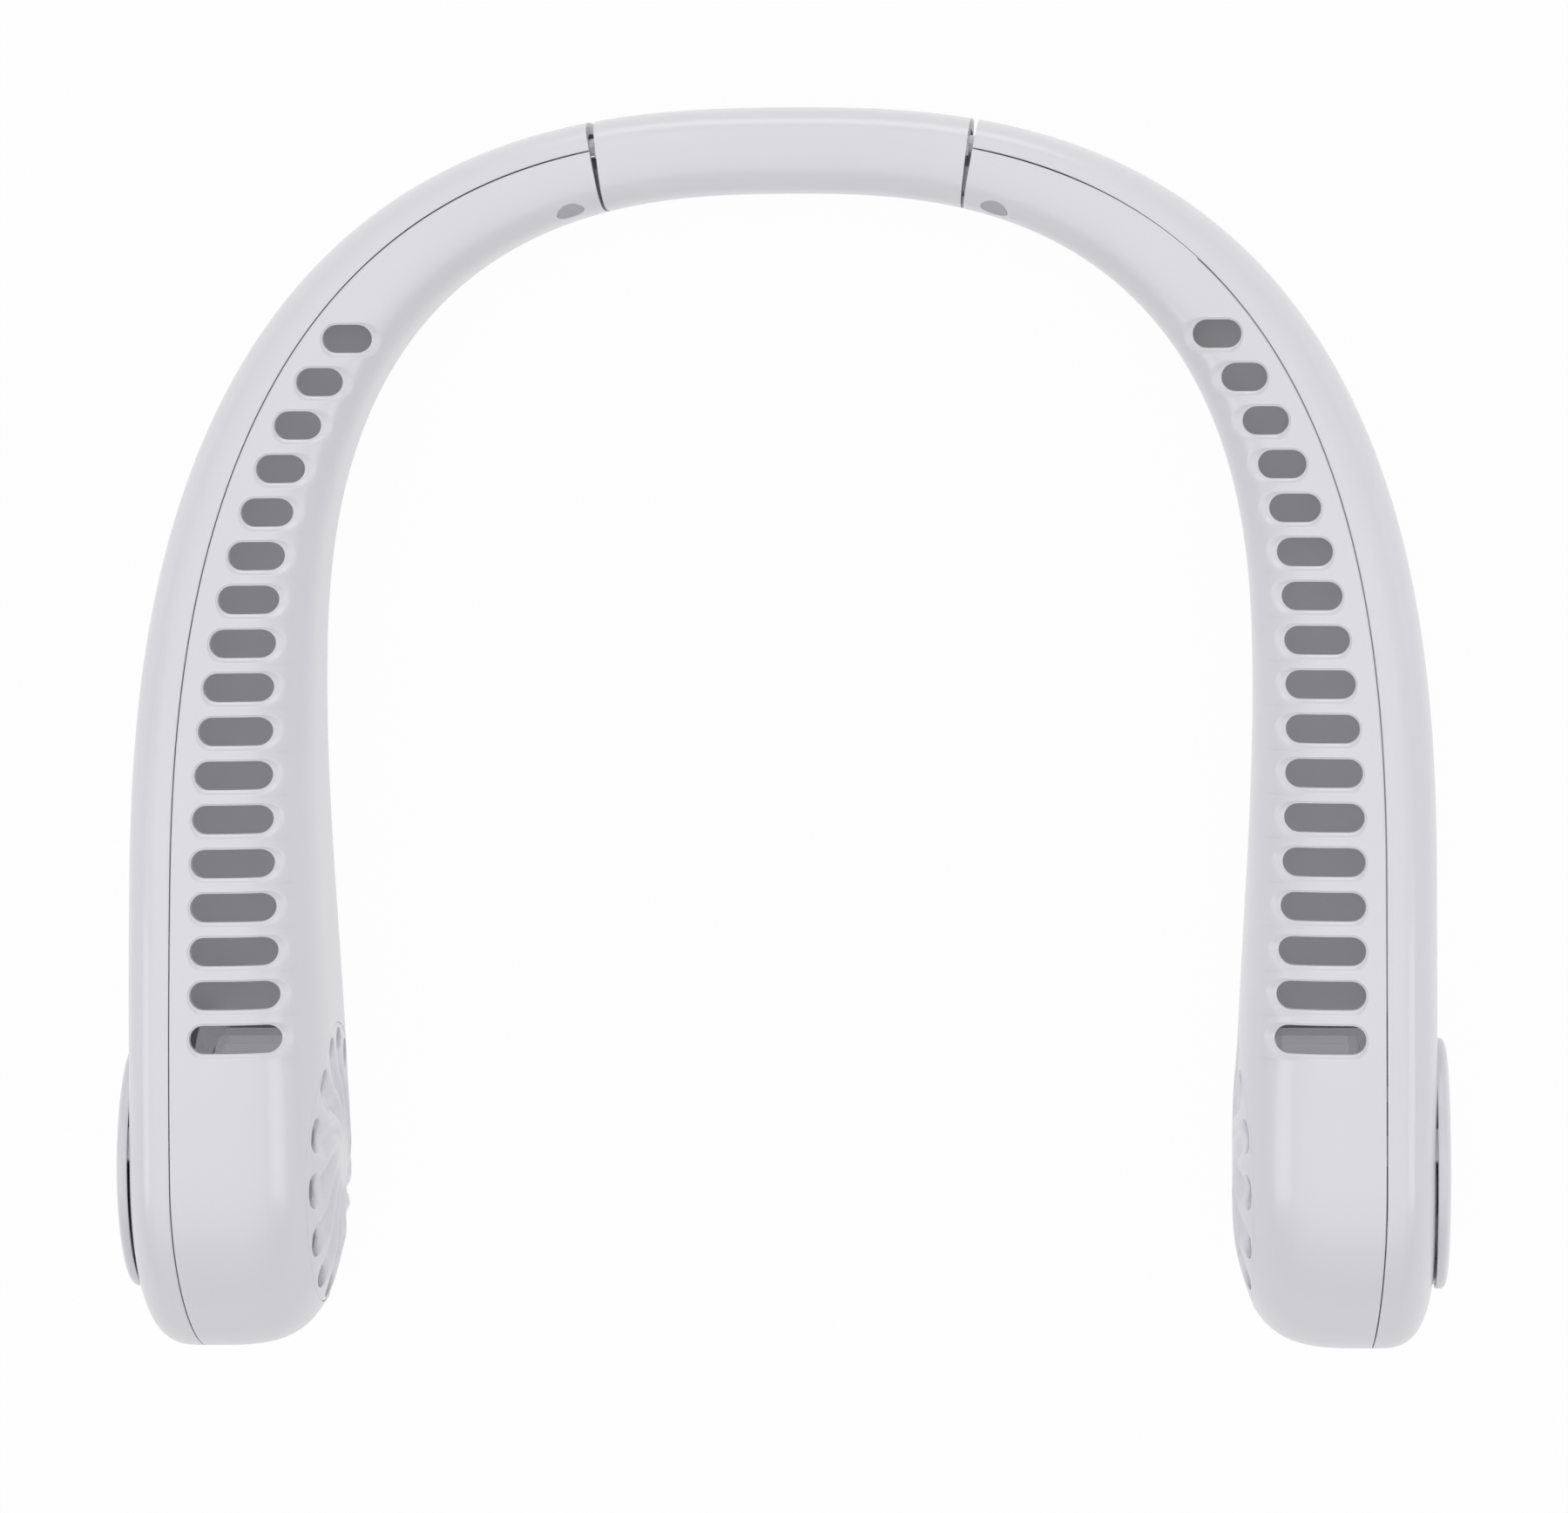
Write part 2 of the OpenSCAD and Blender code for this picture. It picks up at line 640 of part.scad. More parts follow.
// A box with its longest edges rounded, along Y, standing on z = 0 and centred on X
module soft_bar(w, l, h, r) {
    rotate([-90, 0, 0]) mirror([0, 1, 0]) linear_extrude(l) {
        for (x = [r - w / 2, w / 2 - r]) for (y = [r, h - r]) translate([x, y]) circle(r);
        translate([-w / 2, r]) square([w, h - 2 * r]);
        translate([r - w / 2, 0]) square([w - 2 * r, h]);
    }
}

// A strip that follows the outer outline at a depth below it
module outline_strip(stations, depth, t) {
    function inset(station, d) =
        station[0] - d * (station[0] - station[1]) / norm(station[0] - station[1]);
    polygon(concat([for (station = stations) inset(station, depth)],
        reversed([for (station = stations) inset(station, depth + t)])));
}

// Bridge

module bridge_shell() {
    color(white) difference() {
        bridge_tube(0, wall);
        below_table();
    }
}

module knuckle() {
    on_hinge() difference() {
        union() {
            translate([0, 0, -barrel_h / 2]) cylinder(r = barrel_r, h = barrel_h);
            translate([-tongue_w / 2, 0, -barrel_h / 2])
                cube([tongue_w, barrel_r + 2 * bracket_gap, barrel_h]);
            translate([knuckle_neck_x, barrel_r + bracket_gap, -knuckle_h / 2])
                cube([knuckle_outer_x - knuckle_neck_x, knuckle_l, knuckle_h]);
            translate([knuckle_tall_neck_x, barrel_r + bracket_gap, -knuckle_tall_h / 2])
                cube([knuckle_tall_outer_x - knuckle_tall_neck_x, knuckle_l, knuckle_tall_h]);
        }
        cylinder(r = pin_r + pin_fit, h = barrel_h + 2 * overrun, center = true);
    }
}

module bridge_ribbon() {
    color(dark) translate([0, 0, hinge_z - ribbon_h / 2]) linear_extrude(ribbon_h)
        outline_strip([for (i = [1 : len(bridge_stations) - 2]) bridge_stations[i]],
            wall + ribbon_gap, ribbon_t);
}

// Shells of an arm

module usb_mouth(clear) {
    translate([usb_x, usb_y, usb_z]) linear_extrude(usb_l)
        stadium(-usb_w / 2 - clear, usb_w / 2 + clear, usb_h + 2 * clear);
}

module inner_shell(charging) {
    difference() {
        union() {
            half_shell(-1);
            on_fan() translate([0, 0, grille_seat_z]) difference() {
                cylinder(r = grille_r + grille_ledge, h = grille_ring_t);
                translate([0, 0, -overrun])
                    cylinder(r = grille_r - grille_ledge, h = grille_ring_t + 2 * overrun);
            }
            if (charging) for (x = [usb_x - charge_post_x, usb_x + charge_post_x])
                let (foot_z = (floor_z(x, usb_y, 0) + floor_z(x, usb_y, wall)) / 2)
                translate([x, usb_y, foot_z])
                    cylinder(r = charge_post_r, h = charge_board_z - switch_gap - foot_z);
        }
        below_table();
        for (i = [0 : slot_count - 1]) outlet_slot(i);
        on_fan() {
            translate([0, 0, -overrun])
                cylinder(r = grille_r + seat_gap / 2, h = grille_seat_z + overrun);
            cylinder(r = grille_r - grille_ledge, h = grille_seat_z + grille_ring_t + overrun);
        }
        if (charging) translate([0, 0, -wall]) usb_mouth(usb_clear);
        on_hinge() translate([-hinge_inset, -screw_back, 0]) rotate([0, 90, 0]) {
            translate([0, 0, -overrun])
                cylinder(r = plug_r + plug_fit, h = plug_t + hinge_head_h + overrun);
            cylinder(r = hinge_screw_r + hinge_screw_fit, h = wall + 2 * overrun);
        }
    }
}

module outer_shell(button) {
    difference() {
        union() {
            half_shell(1);
            on_fan() for (i = [0 : screw_count - 1]) rotate([0, 0, rib_start + 360 * i / screw_count])
                translate([0, screw_ring_r, shell_boss_z])
                    cylinder(r = shell_boss_r, h = arm_t - wall / 2 - shell_boss_z);
        }
        below_table();
        on_fan() {
            for (i = [0 : screw_count - 1]) rotate([0, 0, rib_start + 360 * i / screw_count])
                translate([0, screw_ring_r, 0]) {
                    translate([0, 0, shell_head_z])
                        cylinder(r = head_recess_r, h = screw_head_h + overrun);
                    translate([0, 0, shell_boss_z - overrun])
                        cylinder(r = screw_r + seat_gap, h = arm_t - shell_boss_z);
                }
            for (i = [0 : rib_count - 1]) let (a = rib_start + 360 * i / rib_count) {
                translate([0, 0, shell_inside_z - overrun])
                    ring_sector(vent_inner_r, vent_outer_r, wall + 2 * overrun,
                        a + vent_margin, 360 / rib_count - 2 * vent_margin);
                rotate([0, 0, a + 180 / rib_count]) translate([0, peg_ring_r, shell_inside_z - overrun])
                    cylinder(r = peg_r + peg_fit, h = wall + 2 * overrun);
            }
            if (button) {
                translate([0, 0, shell_inside_z - overrun])
                    cylinder(r = button_r + button_fit, h = wall + 2 * overrun);
                rotate([0, 0, led_angle]) translate([0, led_ring_r, shell_inside_z - overrun])
                    cylinder(r = led_r + peg_fit, h = wall + 2 * overrun);
            }
        }
    }
}

// Height of the shell under a rib at an angle. Behind the fan the arm doesn't fall away
// with the distance from the axis, but only with the distance above or below it.
function rib_foot_z(a) = outer_face_z(cos(a) > 0
    ? rib_inner_r * abs(sin(a)) - plate_rib_w / 2 * cos(a) : rib_inner_r, 0);

// Cover plate: a gently domed disc whose rim turns down to the shell
module cover_plate(button) {
    steps = 12;
    top = [for (i = [0 : steps]) let (a = 90 * i / steps)
        [plate_r * pow(sin(a), 2 / plate_power),
            plate_rim_z + (plate_top_z - plate_rim_z) * pow(cos(a), 2 / plate_power)]];
    on_fan() difference() {
        union() {
            rotate_extrude() polygon(concat([[0, plate_under_z]], top,
                [[plate_r - plate_t / 2, plate_rim_z], [plate_r - plate_t, plate_under_z]]));
            for (i = [0 : rib_count - 1]) let (a = rib_start + 360 * i / rib_count) {
                rotate([0, 0, a]) translate([-plate_rib_w / 2, rib_inner_r, rib_foot_z(a)])
                    cube([plate_rib_w, rib_outer_r - rib_inner_r,
                        plate_under_z + plate_t / 2 - rib_foot_z(a)]);
                rotate([0, 0, a + 180 / rib_count]) translate([0, peg_ring_r, arm_t - peg_l])
                    cylinder(r = peg_r, h = peg_l + plate_gap + plate_t / 2);
            }
        }
        if (button) {
            translate([0, 0, plate_under_z - overrun])
                cylinder(r = button_r + button_fit, h = plate_t + 2 * overrun);
            rotate([0, 0, led_angle]) translate([0, led_ring_r, plate_under_z - overrun])
                cylinder(r = led_r + peg_fit, h = plate_t + 2 * overrun);
        }
    }
}

// Intake grille

// Outline between two radii whose sides turn with the radius. Its width is the arc from
// vane to vane less the vane, or the vane itself.
module swirl(r1, r2, vane) {
    pitch = 360 / petal_count;
    function turn(r) = petal_swirl * (r - petal_inner_r) / (petal_outer_r - petal_inner_r);
    function vane_angle(r) = asin(vane_w / 2 / r);
    function half_angle(r, f) = vane ? vane_angle(r)
        : (pitch / 2 - vane_angle(r)) * sqrt(1 - pow(abs(2 * f - 1), petal_power));
    function side(s) = [for (i = [0 : petal_steps])
        let (f = i / petal_steps, r = r1 + (r2 - r1) * f)
        r * fan_dir(turn(r) + s * half_angle(r, f))];
    polygon(concat(side(-1), reversed([for (i = [vane ? 0 : 1 : petal_steps - (vane ? 0 : 1)])
        side(1)[i]])));
}

// A disc that follows the neck face of the arm between two depths
module face_disc(r, top, bottom) {
    steps = 10;
    upper = [for (i = [0 : steps]) [r * i / steps, neck_face_z(r * i / steps, 0) + top]];
    lower = [for (i = [steps : -1 : 0]) [r * i / steps, neck_face_z(r * i / steps, 0) + bottom]];
    rotate_extrude() polygon(concat(upper, lower));
}

module intake_grille() {
    pitch = 360 / petal_count;
    on_fan() {
        difference() {
            face_disc(grille_r, 0, grille_t);
            for (i = [0 : petal_count - 1]) rotate([0, 0, pitch * (i + 0.5)])
                translate([0, 0, -overrun]) linear_extrude(grille_seat_z + 2 * overrun)
                    swirl(petal_inner_r, petal_outer_r, false);
        }
        intersection() {
            face_disc(grille_r - vane_w, -vane_proud, grille_t / 2);
            for (i = [0 : petal_count - 1]) rotate([0, 0, pitch * i])
                translate([0, 0, -vane_proud]) linear_extrude(grille_seat_z + vane_proud)
                    swirl(hub_r - vane_w / 2, grille_r - vane_w / 2, true);
        }
        rotate_extrude() polygon(concat([[0, grille_t]],
            [for (i = [0 : petal_steps]) let (a = 90 * i / petal_steps)
                [hub_r * sin(a), -hub_proud + hub_proud * (1 - cos(a)) * (1 - cos(a))]],
            [[hub_r, grille_t]]));
    }
}

// Fan scroll

module spiral_wall() {
    function at(i, extra) = let (f = i / scroll_steps)
        (scroll_tongue_r + (scroll_exit_r - scroll_tongue_r) * f + extra)
            * fan_dir(scroll_tongue_angle + (scroll_exit_angle - scroll_tongue_angle) * f);
    polygon(concat([for (i = [0 : scroll_steps]) at(i, 0)],
        reversed([for (i = [0 : scroll_steps]) at(i, scroll_wall)])));
}

module fan_scroll() {
    on_fan() difference() {
        union() {
            intersection() {
                union() {
                    translate([0, 0, impeller_front_z])
                        linear_extrude(scroll_z + scroll_t / 2 - impeller_front_z) spiral_wall();
                    translate([0, 0, scroll_z])
                        cylinder(r = scroll_exit_r + scroll_wall + seat_gap, h = scroll_t);
                }
                rotate_extrude() hollow_profile(wall + seat_gap);
            }
            for (i = [0 : screw_count - 1]) rotate([0, 0, rib_start + 360 * i / screw_count])
                translate([0, screw_ring_r, scroll_z + scroll_t / 2])
                    cylinder(r = screw_boss_r, h = shell_boss_z - seat_gap / 2 - scroll_z - scroll_t / 2);
            for (side = [-1, 1]) translate([side * board_peg_ring, 0, scroll_z + scroll_t / 2])
                cylinder(r = board_peg_r, h = board_z - switch_gap - scroll_z - scroll_t / 2);
        }
        translate([0, 0, scroll_z - overrun]) cylinder(r = tube_r + can_fit / 2, h = scroll_t + 2 * overrun);
        for (i = [0 : screw_count - 1]) rotate([0, 0, rib_start + 360 * i / screw_count]) {
            translate([0, screw_ring_r, scroll_z - overrun])
                cylinder(r = screw_r + screw_fit, h = shell_boss_z - scroll_z + 2 * overrun);
        }
        for (i = [0 : screw_count - 1]) translate([0, 0, scroll_z - overrun])
            ring_sector(window_inner_r, window_outer_r, scroll_t + 2 * overrun,
                rib_start + 360 * (i + (1 - window_share) / 2) / screw_count,
                360 * window_share / screw_count);
    }
}

// Motor

module bearing_tube() {
    on_fan() translate([0, 0, tube_front_z]) difference() {
        cylinder(r = tube_r, h = scroll_back_z - tube_front_z);
        translate([0, 0, -overrun])
            cylinder(r = tube_r - tube_wall, h = scroll_back_z - tube_front_z + 2 * overrun);
    }
}

module motor_bearings() {
    on_fan() for (z = [tube_front_z + bearing_inset, scroll_back_z - bearing_inset - bearing_h])
        translate([0, 0, z]) difference() {
            cylinder(r = bearing_r, h = bearing_h);
            translate([0, 0, -overrun])
                cylinder(r = shaft_r + shaft_fit, h = bearing_h + 2 * overrun);
        }
}

module stator_core() {
    hub = tube_r + can_fit / 2;
    on_fan() translate([0, 0, stator_z]) linear_extrude(stator_h) {
        difference() {
            union() {
                circle(hub + pole_tip_t);
                for (i = [0 : stator_poles - 1]) rotate(360 * i / stator_poles)
                    translate([0, -pole_w / 2]) square([stator_r - pole_tip_t / 2, pole_w]);
            }
            circle(hub);
        }
        for (i = [0 : stator_poles - 1]) rotate(360 * i / stator_poles) intersection() {
            difference() {
                circle(stator_r);
                circle(stator_r - pole_tip_t);
            }
            translate([0, -pole_w]) square([stator_r, 2 * pole_w]);
        }
    }
}

module stator_coils() {
    fit = switch_gap;
    start = tube_r + can_fit / 2 + pole_tip_t + seat_gap;
    tip_reach = sqrt(pow(stator_r - pole_tip_t, 2) - pow(pole_w / 2 + coil_wall, 2));
    reach = tip_reach - fit - start;
    on_fan() for (i = [0 : stator_poles - 1]) rotate([0, 0, 360 * i / stator_poles]) difference() {
        translate([start, -pole_w / 2 - coil_wall, stator_z - coil_wall])
            cube([reach, pole_w + 2 * coil_wall, stator_h + 2 * coil_wall]);
        translate([start - overrun, -pole_w / 2 - fit, stator_z - fit])
            cube([reach + 2 * overrun, pole_w + 2 * fit, stator_h + 2 * fit]);
    }
}

module motor_shaft() {
    on_fan() translate([0, 0, can_front_z - hub_wall / 2])
        cylinder(r = shaft_r, h = scroll_back_z - can_front_z + hub_wall / 2);
}

module rotor_can() {
    on_fan() translate([0, 0, can_front_z]) difference() {
        cylinder(r = can_r, h = can_back_z - can_front_z);
        translate([0, 0, can_t]) cylinder(r = can_r - can_t, h = can_back_z - can_front_z);
        translate([0, 0, -overrun]) cylinder(r = shaft_r + pin_press, h = can_t + 2 * overrun);
    }
}

module rotor_magnet() {
    on_fan() translate([0, 0, can_front_z + can_t + seat_gap]) difference() {
        cylinder(r = magnet_outer_r, h = can_back_z - can_front_z - can_t - 2 * seat_gap);
        translate([0, 0, -overrun])
            cylinder(r = magnet_outer_r - magnet_t, h = can_back_z - can_front_z + overrun);
    }
}

module blade() {
    function mid(f, s) =
        let (r = blade_inner_r + (impeller_r - blade_inner_r) * f,
            a = blade_sweep * pow(f, blade_curve))
        r * fan_dir(a) + s * blade_t / 2 * fan_dir(a + quarter_turn - blade_sweep / 2);
    polygon(concat([for (i = [0 : blade_steps]) mid(i / blade_steps, -1)],
        reversed([for (i = [0 : blade_steps]) mid(i / blade_steps, 1)])));
}

module impeller() {
    hub_front_z = can_front_z - can_fit - hub_wall;
    on_fan() difference() {
        union() {
            translate([0, 0, hub_front_z]) cylinder(r = hub_outer_r, h = impeller_back_z - hub_front_z);
            translate([0, 0, impeller_back_z - web_t]) cylinder(r = impeller_r, h = web_t);
            translate([0, 0, impeller_front_z]) difference() {
                cylinder(r = impeller_r, h = shroud_t);
                translate([0, 0, -overrun]) cylinder(r = eye_r, h = shroud_t + 2 * overrun);
            }
            intersection() {
                translate([0, 0, impeller_front_z + shroud_t / 2])
                    cylinder(r = impeller_r, h = impeller_w - shroud_t / 2 - web_t / 2);
                for (i = [0 : blade_count - 1]) rotate([0, 0, 360 * i / blade_count])
                    linear_extrude(impeller_back_z) blade();
            }
        }
        translate([0, 0, can_front_z - can_fit])
            cylinder(r = can_r + can_fit, h = impeller_back_z + overrun - can_front_z);
        translate([0, 0, hub_front_z - overrun])
            cylinder(r = shaft_r + pin_press, h = hub_wall + 2 * overrun);
        for (i = [0 : stator_poles - 1]) rotate([0, 0, 360 * i / stator_poles])
            translate([0, blade_inner_r + web_hole_r, impeller_back_z - web_t - overrun])
                cylinder(r = web_hole_r, h = web_t + 2 * overrun);
    }
}

// Duct floor, battery and wires

module duct_floor() {
    function inset(station) = let (d = (station[0] - station[1]) / norm(station[0] - station[1]))
        [station[0] - d * duct_margin, station[1] + d * duct_margin];
    front = [[outer_x(duct_front_y), duct_front_y], [neck_x(duct_front_y), duct_front_y]];
    behind = [for (i = [0 : duct_last])
        if (bend_stations[i][1].y > duct_front_y + duct_margin) bend_stations[i]];
    edges = [for (station = concat([front], behind)) inset(station)];
    translate([0, 0, duct_floor_z]) linear_extrude(duct_floor_t)
        polygon(concat([for (edge = edges) edge[0]], reversed([for (edge = edges) edge[1]])));
}

module battery() {
    translate([battery_x, battery_y, battery_top_z - battery_t]) {
        soft_bar(battery_w, battery_l, battery_t, battery_round);
        for (x = [-battery_w / 4, battery_w / 4 - tab_l])
            translate([x, battery_l - tab_l / 2, battery_t / 2]) cube([tab_l, tab_l + tab_l / 2, tab_t]);
    }
}

module arm_ribbon() {
    translate([0, 0, hinge_z - ribbon_h / 2]) linear_extrude(ribbon_h)
        outline_strip([for (i = [ribbon_first : bend_steps - ribbon_end_clear]) bend_stations[i]],
            wall + ribbon_gap, ribbon_t);
}

// Fasteners and hinge

module shell_screws() {
    on_fan() for (i = [0 : screw_count - 1]) rotate([0, 0, rib_start + 360 * i / screw_count])
        translate([0, screw_ring_r, shell_head_z]) {
            translate([0, 0, switch_gap]) cylinder(r = screw_head_r, h = screw_head_h);
            translate([0, 0, scroll_back_z + overrun - shell_head_z])
                cylinder(r = screw_r, h = shell_head_z - scroll_back_z - overrun / 2);
        }
}

module hinge_bracket() {
    back = -barrel_r - bracket_gap - bracket_t;
    foot_x = wall - hinge_inset + seat_gap;
    on_hinge() difference() {
        union() {
            for (z = [-barrel_h / 2 - ear_gap - ear_h, barrel_h / 2 + ear_gap]) translate([0, 0, z]) {
                cylinder(r = ear_r, h = ear_h);
                translate([-ear_r, back, 0]) cube([2 * ear_r, -back, ear_h]);
            }
            translate([-ear_r, back, -pin_l / 2]) cube([2 * ear_r, bracket_t, pin_l]);
            translate([foot_x, -bracket_l, -foot_h / 2]) cube([foot_t, bracket_l + back + bracket_t, foot_h]);
        }
        cylinder(r = pin_r + pin_press, h = pin_l + 2 * overrun, center = true);
        translate([foot_x - overrun, -screw_back, 0]) rotate([0, 90, 0])
            cylinder(r = hinge_screw_r + pin_press, h = foot_t + 2 * overrun);
    }
}

module hinge_pin() {
    on_hinge() cylinder(r = pin_r, h = pin_l, center = true);
}

module on_hinge_screw() {
    on_hinge() translate([-hinge_inset, -screw_back, 0]) rotate([0, 90, 0]) children();
}

module hinge_screw() {
    on_hinge_screw() translate([0, 0, plug_t + plug_fit]) {
        cylinder(r = hinge_head_r, h = hinge_head_h - 2 * plug_fit);
        cylinder(r = hinge_screw_r, h = wall + foot_t);
    }
}

module screw_plug() {
    on_hinge_screw() cylinder(r = plug_r, h = plug_t);
}

// Pieces of the right arm only

module control_board() {
    color(green) on_fan() {
        translate([0, 0, board_z]) cylinder(r = board_r, h = board_t);
        rotate([0, 0, led_angle]) translate([0, led_ring_r, board_z + board_t / 2])
            cylinder(r = led_r, h = led_h + board_t / 2);
        for (side = [-1, 1]) translate([side * chip_x - chip_w / 2, -chip_w / 2, board_z + board_t / 2])
            cube([chip_w, chip_w, chip_h + board_t / 2]);
    }
}

module tact_switch() {
    color(dark) on_fan() translate([0, 0, board_z + board_t]) {
        translate([-switch_w / 2, -switch_w / 2, 0]) cube([switch_w, switch_w, switch_h]);
        cylinder(r = switch_stem_r, h = switch_h + switch_stem_h);
    }
}

module light_pipe() {
    start = board_z + board_t + led_h + switch_gap;
    color(milky) on_fan() rotate([0, 0, led_angle]) translate([0, led_ring_r, 0]) {
        translate([0, 0, start]) cylinder(r = led_r, h = button_top_z - start);
        translate([0, 0, button_under_z]) cylinder(r = led_r + led_flange, h = button_flange_t);
    }
}

module power_button() {
    color(shade_white) on_fan() difference() {
        union() {
            translate([0, 0, button_under_z]) cylinder(r = button_r, h = button_top_z - button_under_z);
            translate([0, 0, button_under_z]) cylinder(r = button_r + button_flange, h = button_flange_t);
        }
        translate([0, 0, button_top_z - button_dish]) rotate_extrude() polygon(concat(
            [for (i = [0 : dish_steps]) let (f = i / dish_steps)
                [(button_r - button_dish) * f, button_dish * f * f]],
            [[button_r - button_dish, button_dish + overrun], [0, button_dish + overrun]]));
    }
}

module charge_board() {
    color(green) translate([usb_x - charge_board_w / 2, usb_y - charge_board_l / 2, charge_board_z])
        cube([charge_board_w, charge_board_l, charge_board_t]);
}

module usb_socket() {
    color(steel) difference() {
        usb_mouth(0);
        translate([0, 0, -usb_wall]) difference() {
            usb_mouth(-usb_wall);
            translate([usb_x - usb_w / 3, usb_y - usb_tongue_h / 2, usb_z])
                cube([usb_w * 2 / 3, usb_tongue_h, usb_l]);
        }
    }
}

// Both arms: the right one as drawn, the left one mirrored

module left() { mirror([1, 0, 0]) children(); }

module inner_shell_left() { color(white) left() inner_shell(false); }
module inner_shell_right() { color(white) inner_shell(true); }
module outer_shell_left() { color(white) left() outer_shell(false); }
module outer_shell_right() { color(white) outer_shell(true); }
module intake_grille_left() { color(white) left() intake_grille(); }
module intake_grille_right() { color(white) intake_grille(); }
module cover_plate_left() { color(white) left() cover_plate(false); }
module cover_plate_right() { color(white) cover_plate(true); }
module fan_scroll_left() { color(shade_white) left() fan_scroll(); }
module fan_scroll_right() { color(shade_white) fan_scroll(); }
module duct_floor_left() { color(shade_white) left() duct_floor(); }
module duct_floor_right() { color(shade_white) duct_floor(); }
module battery_left() { color(grey) left() battery(); }
module battery_right() { color(grey) battery(); }
module bearing_tube_left() { color(steel) left() bearing_tube(); }
module bearing_tube_right() { color(steel) bearing_tube(); }
module motor_bearings_left() { color(steel) left() motor_bearings(); }
module motor_bearings_right() { color(steel) motor_bearings(); }
module stator_core_left() { color(steel) left() stator_core(); }
module stator_core_right() { color(steel) stator_core(); }
module stator_coils_left() { color(copper) left() stator_coils(); }
module stator_coils_right() { color(copper) stator_coils(); }
module hinge_bracket_left() { color(steel) left() hinge_bracket(); }
module hinge_bracket_right() { color(steel) hinge_bracket(); }
module hinge_pin_left() { color(steel) left() hinge_pin(); }
module hinge_pin_right() { color(steel) hinge_pin(); }
module hinge_screw_left() { color(steel) left() hinge_screw(); }
module hinge_screw_right() { color(steel) hinge_screw(); }
module screw_plug_left() { color(grey) left() screw_plug(); }
module screw_plug_right() { color(grey) screw_plug(); }
module shell_screws_left() { color(steel) left() shell_screws(); }
module shell_screws_right() { color(steel) shell_screws(); }
module arm_ribbon_left() { color(dark) left() arm_ribbon(); }
module arm_ribbon_right() { color(dark) arm_ribbon(); }
module impeller_left() { color(dark) left() impeller(); }
module impeller_right() { color(dark) impeller(); }
module rotor_can_left() { color(steel) left() rotor_can(); }
module rotor_can_right() { color(steel) rotor_can(); }
module rotor_magnet_left() { color(dark) left() rotor_magnet(); }
module rotor_magnet_right() { color(dark) rotor_magnet(); }
module motor_shaft_left() { color(steel) left() motor_shaft(); }
module motor_shaft_right() { color(steel) motor_shaft(); }
module hinge_knuckle_left() { color(shade_white) left() knuckle(); }
module hinge_knuckle_right() { color(shade_white) knuckle(); }

bridge_shell();
bridge_ribbon();
control_board();
tact_switch();
light_pipe();
charge_board();
usb_socket();
power_button();
inner_shell_left();
inner_shell_right();
outer_shell_left();
outer_shell_right();
intake_grille_left();
intake_grille_right();
cover_plate_left();
cover_plate_right();
fan_scroll_left();
fan_scroll_right();
duct_floor_left();
duct_floor_right();
battery_left();
battery_right();
bearing_tube_left();
bearing_tube_right();
motor_bearings_left();
motor_bearings_right();
stator_core_left();
stator_core_right();
stator_coils_left();
stator_coils_right();
hinge_bracket_left();
hinge_bracket_right();
hinge_pin_left();
hinge_pin_right();
hinge_screw_left();
hinge_screw_right();
screw_plug_left();
screw_plug_right();
shell_screws_left();
shell_screws_right();
arm_ribbon_left();
arm_ribbon_right();
impeller_left();
impeller_right();
rotor_can_left();
rotor_can_right();
rotor_magnet_left();
rotor_magnet_right();
motor_shaft_left();
motor_shaft_right();
hinge_knuckle_left();
hinge_knuckle_right();
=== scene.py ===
"""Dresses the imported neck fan: smooth housings, grilles, plates, finishes, light and camera.

Shapes repeat the rules of the part's source in millimetres and become metres where a mesh is made.
"""

import logging
import math
from dataclasses import dataclass, field
from enum import Enum

import bmesh
import bpy
import numpy as np
from mathutils import Matrix, Vector


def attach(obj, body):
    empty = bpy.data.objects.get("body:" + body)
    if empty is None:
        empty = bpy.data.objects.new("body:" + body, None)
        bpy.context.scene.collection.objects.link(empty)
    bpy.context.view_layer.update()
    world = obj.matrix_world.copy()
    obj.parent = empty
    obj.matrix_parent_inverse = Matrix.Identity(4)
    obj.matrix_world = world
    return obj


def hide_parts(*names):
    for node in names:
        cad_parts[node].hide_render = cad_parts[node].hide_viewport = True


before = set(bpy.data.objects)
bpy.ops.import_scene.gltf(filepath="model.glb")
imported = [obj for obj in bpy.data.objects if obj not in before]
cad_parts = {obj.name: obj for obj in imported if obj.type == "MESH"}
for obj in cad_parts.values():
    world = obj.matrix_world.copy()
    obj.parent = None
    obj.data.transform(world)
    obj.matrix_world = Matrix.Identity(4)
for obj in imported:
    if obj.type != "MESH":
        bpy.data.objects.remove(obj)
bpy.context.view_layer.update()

LOG = logging.getLogger("neck_fan")
MM = 0.001
QUARTER = math.pi / 2
CRISP_ANGLE = math.radians(35.0)
MERGE_DISTANCE = 2e-7
SLIVER_LENGTH = 1e-8
ROUND_OFF = 1e-9
UPRIGHT = 0.9  # share of an axis along Z from which it counts as upright
BAND_PITCH = 0.3142  # distance between the bands of a wave texture of scale 1

Point = tuple[float, float, float]
Colour = tuple[float, float, float]


class Side(Enum):
    """An arm of the fan, with the sign of its X."""

    RIGHT = 1
    LEFT = -1

    @property
    def label(self) -> str:
        """The ending of the names of this arm's nodes."""
        return self.name.lower()

    @property
    def arm(self) -> str:
        """The CAD body of this arm."""
        return f"{self.label}_arm"

    def placed(self, points: np.ndarray) -> np.ndarray:
        """Places drawn for the right arm, mirrored where this is the left one."""
        return points * np.array([self.value, 1.0, 1.0])


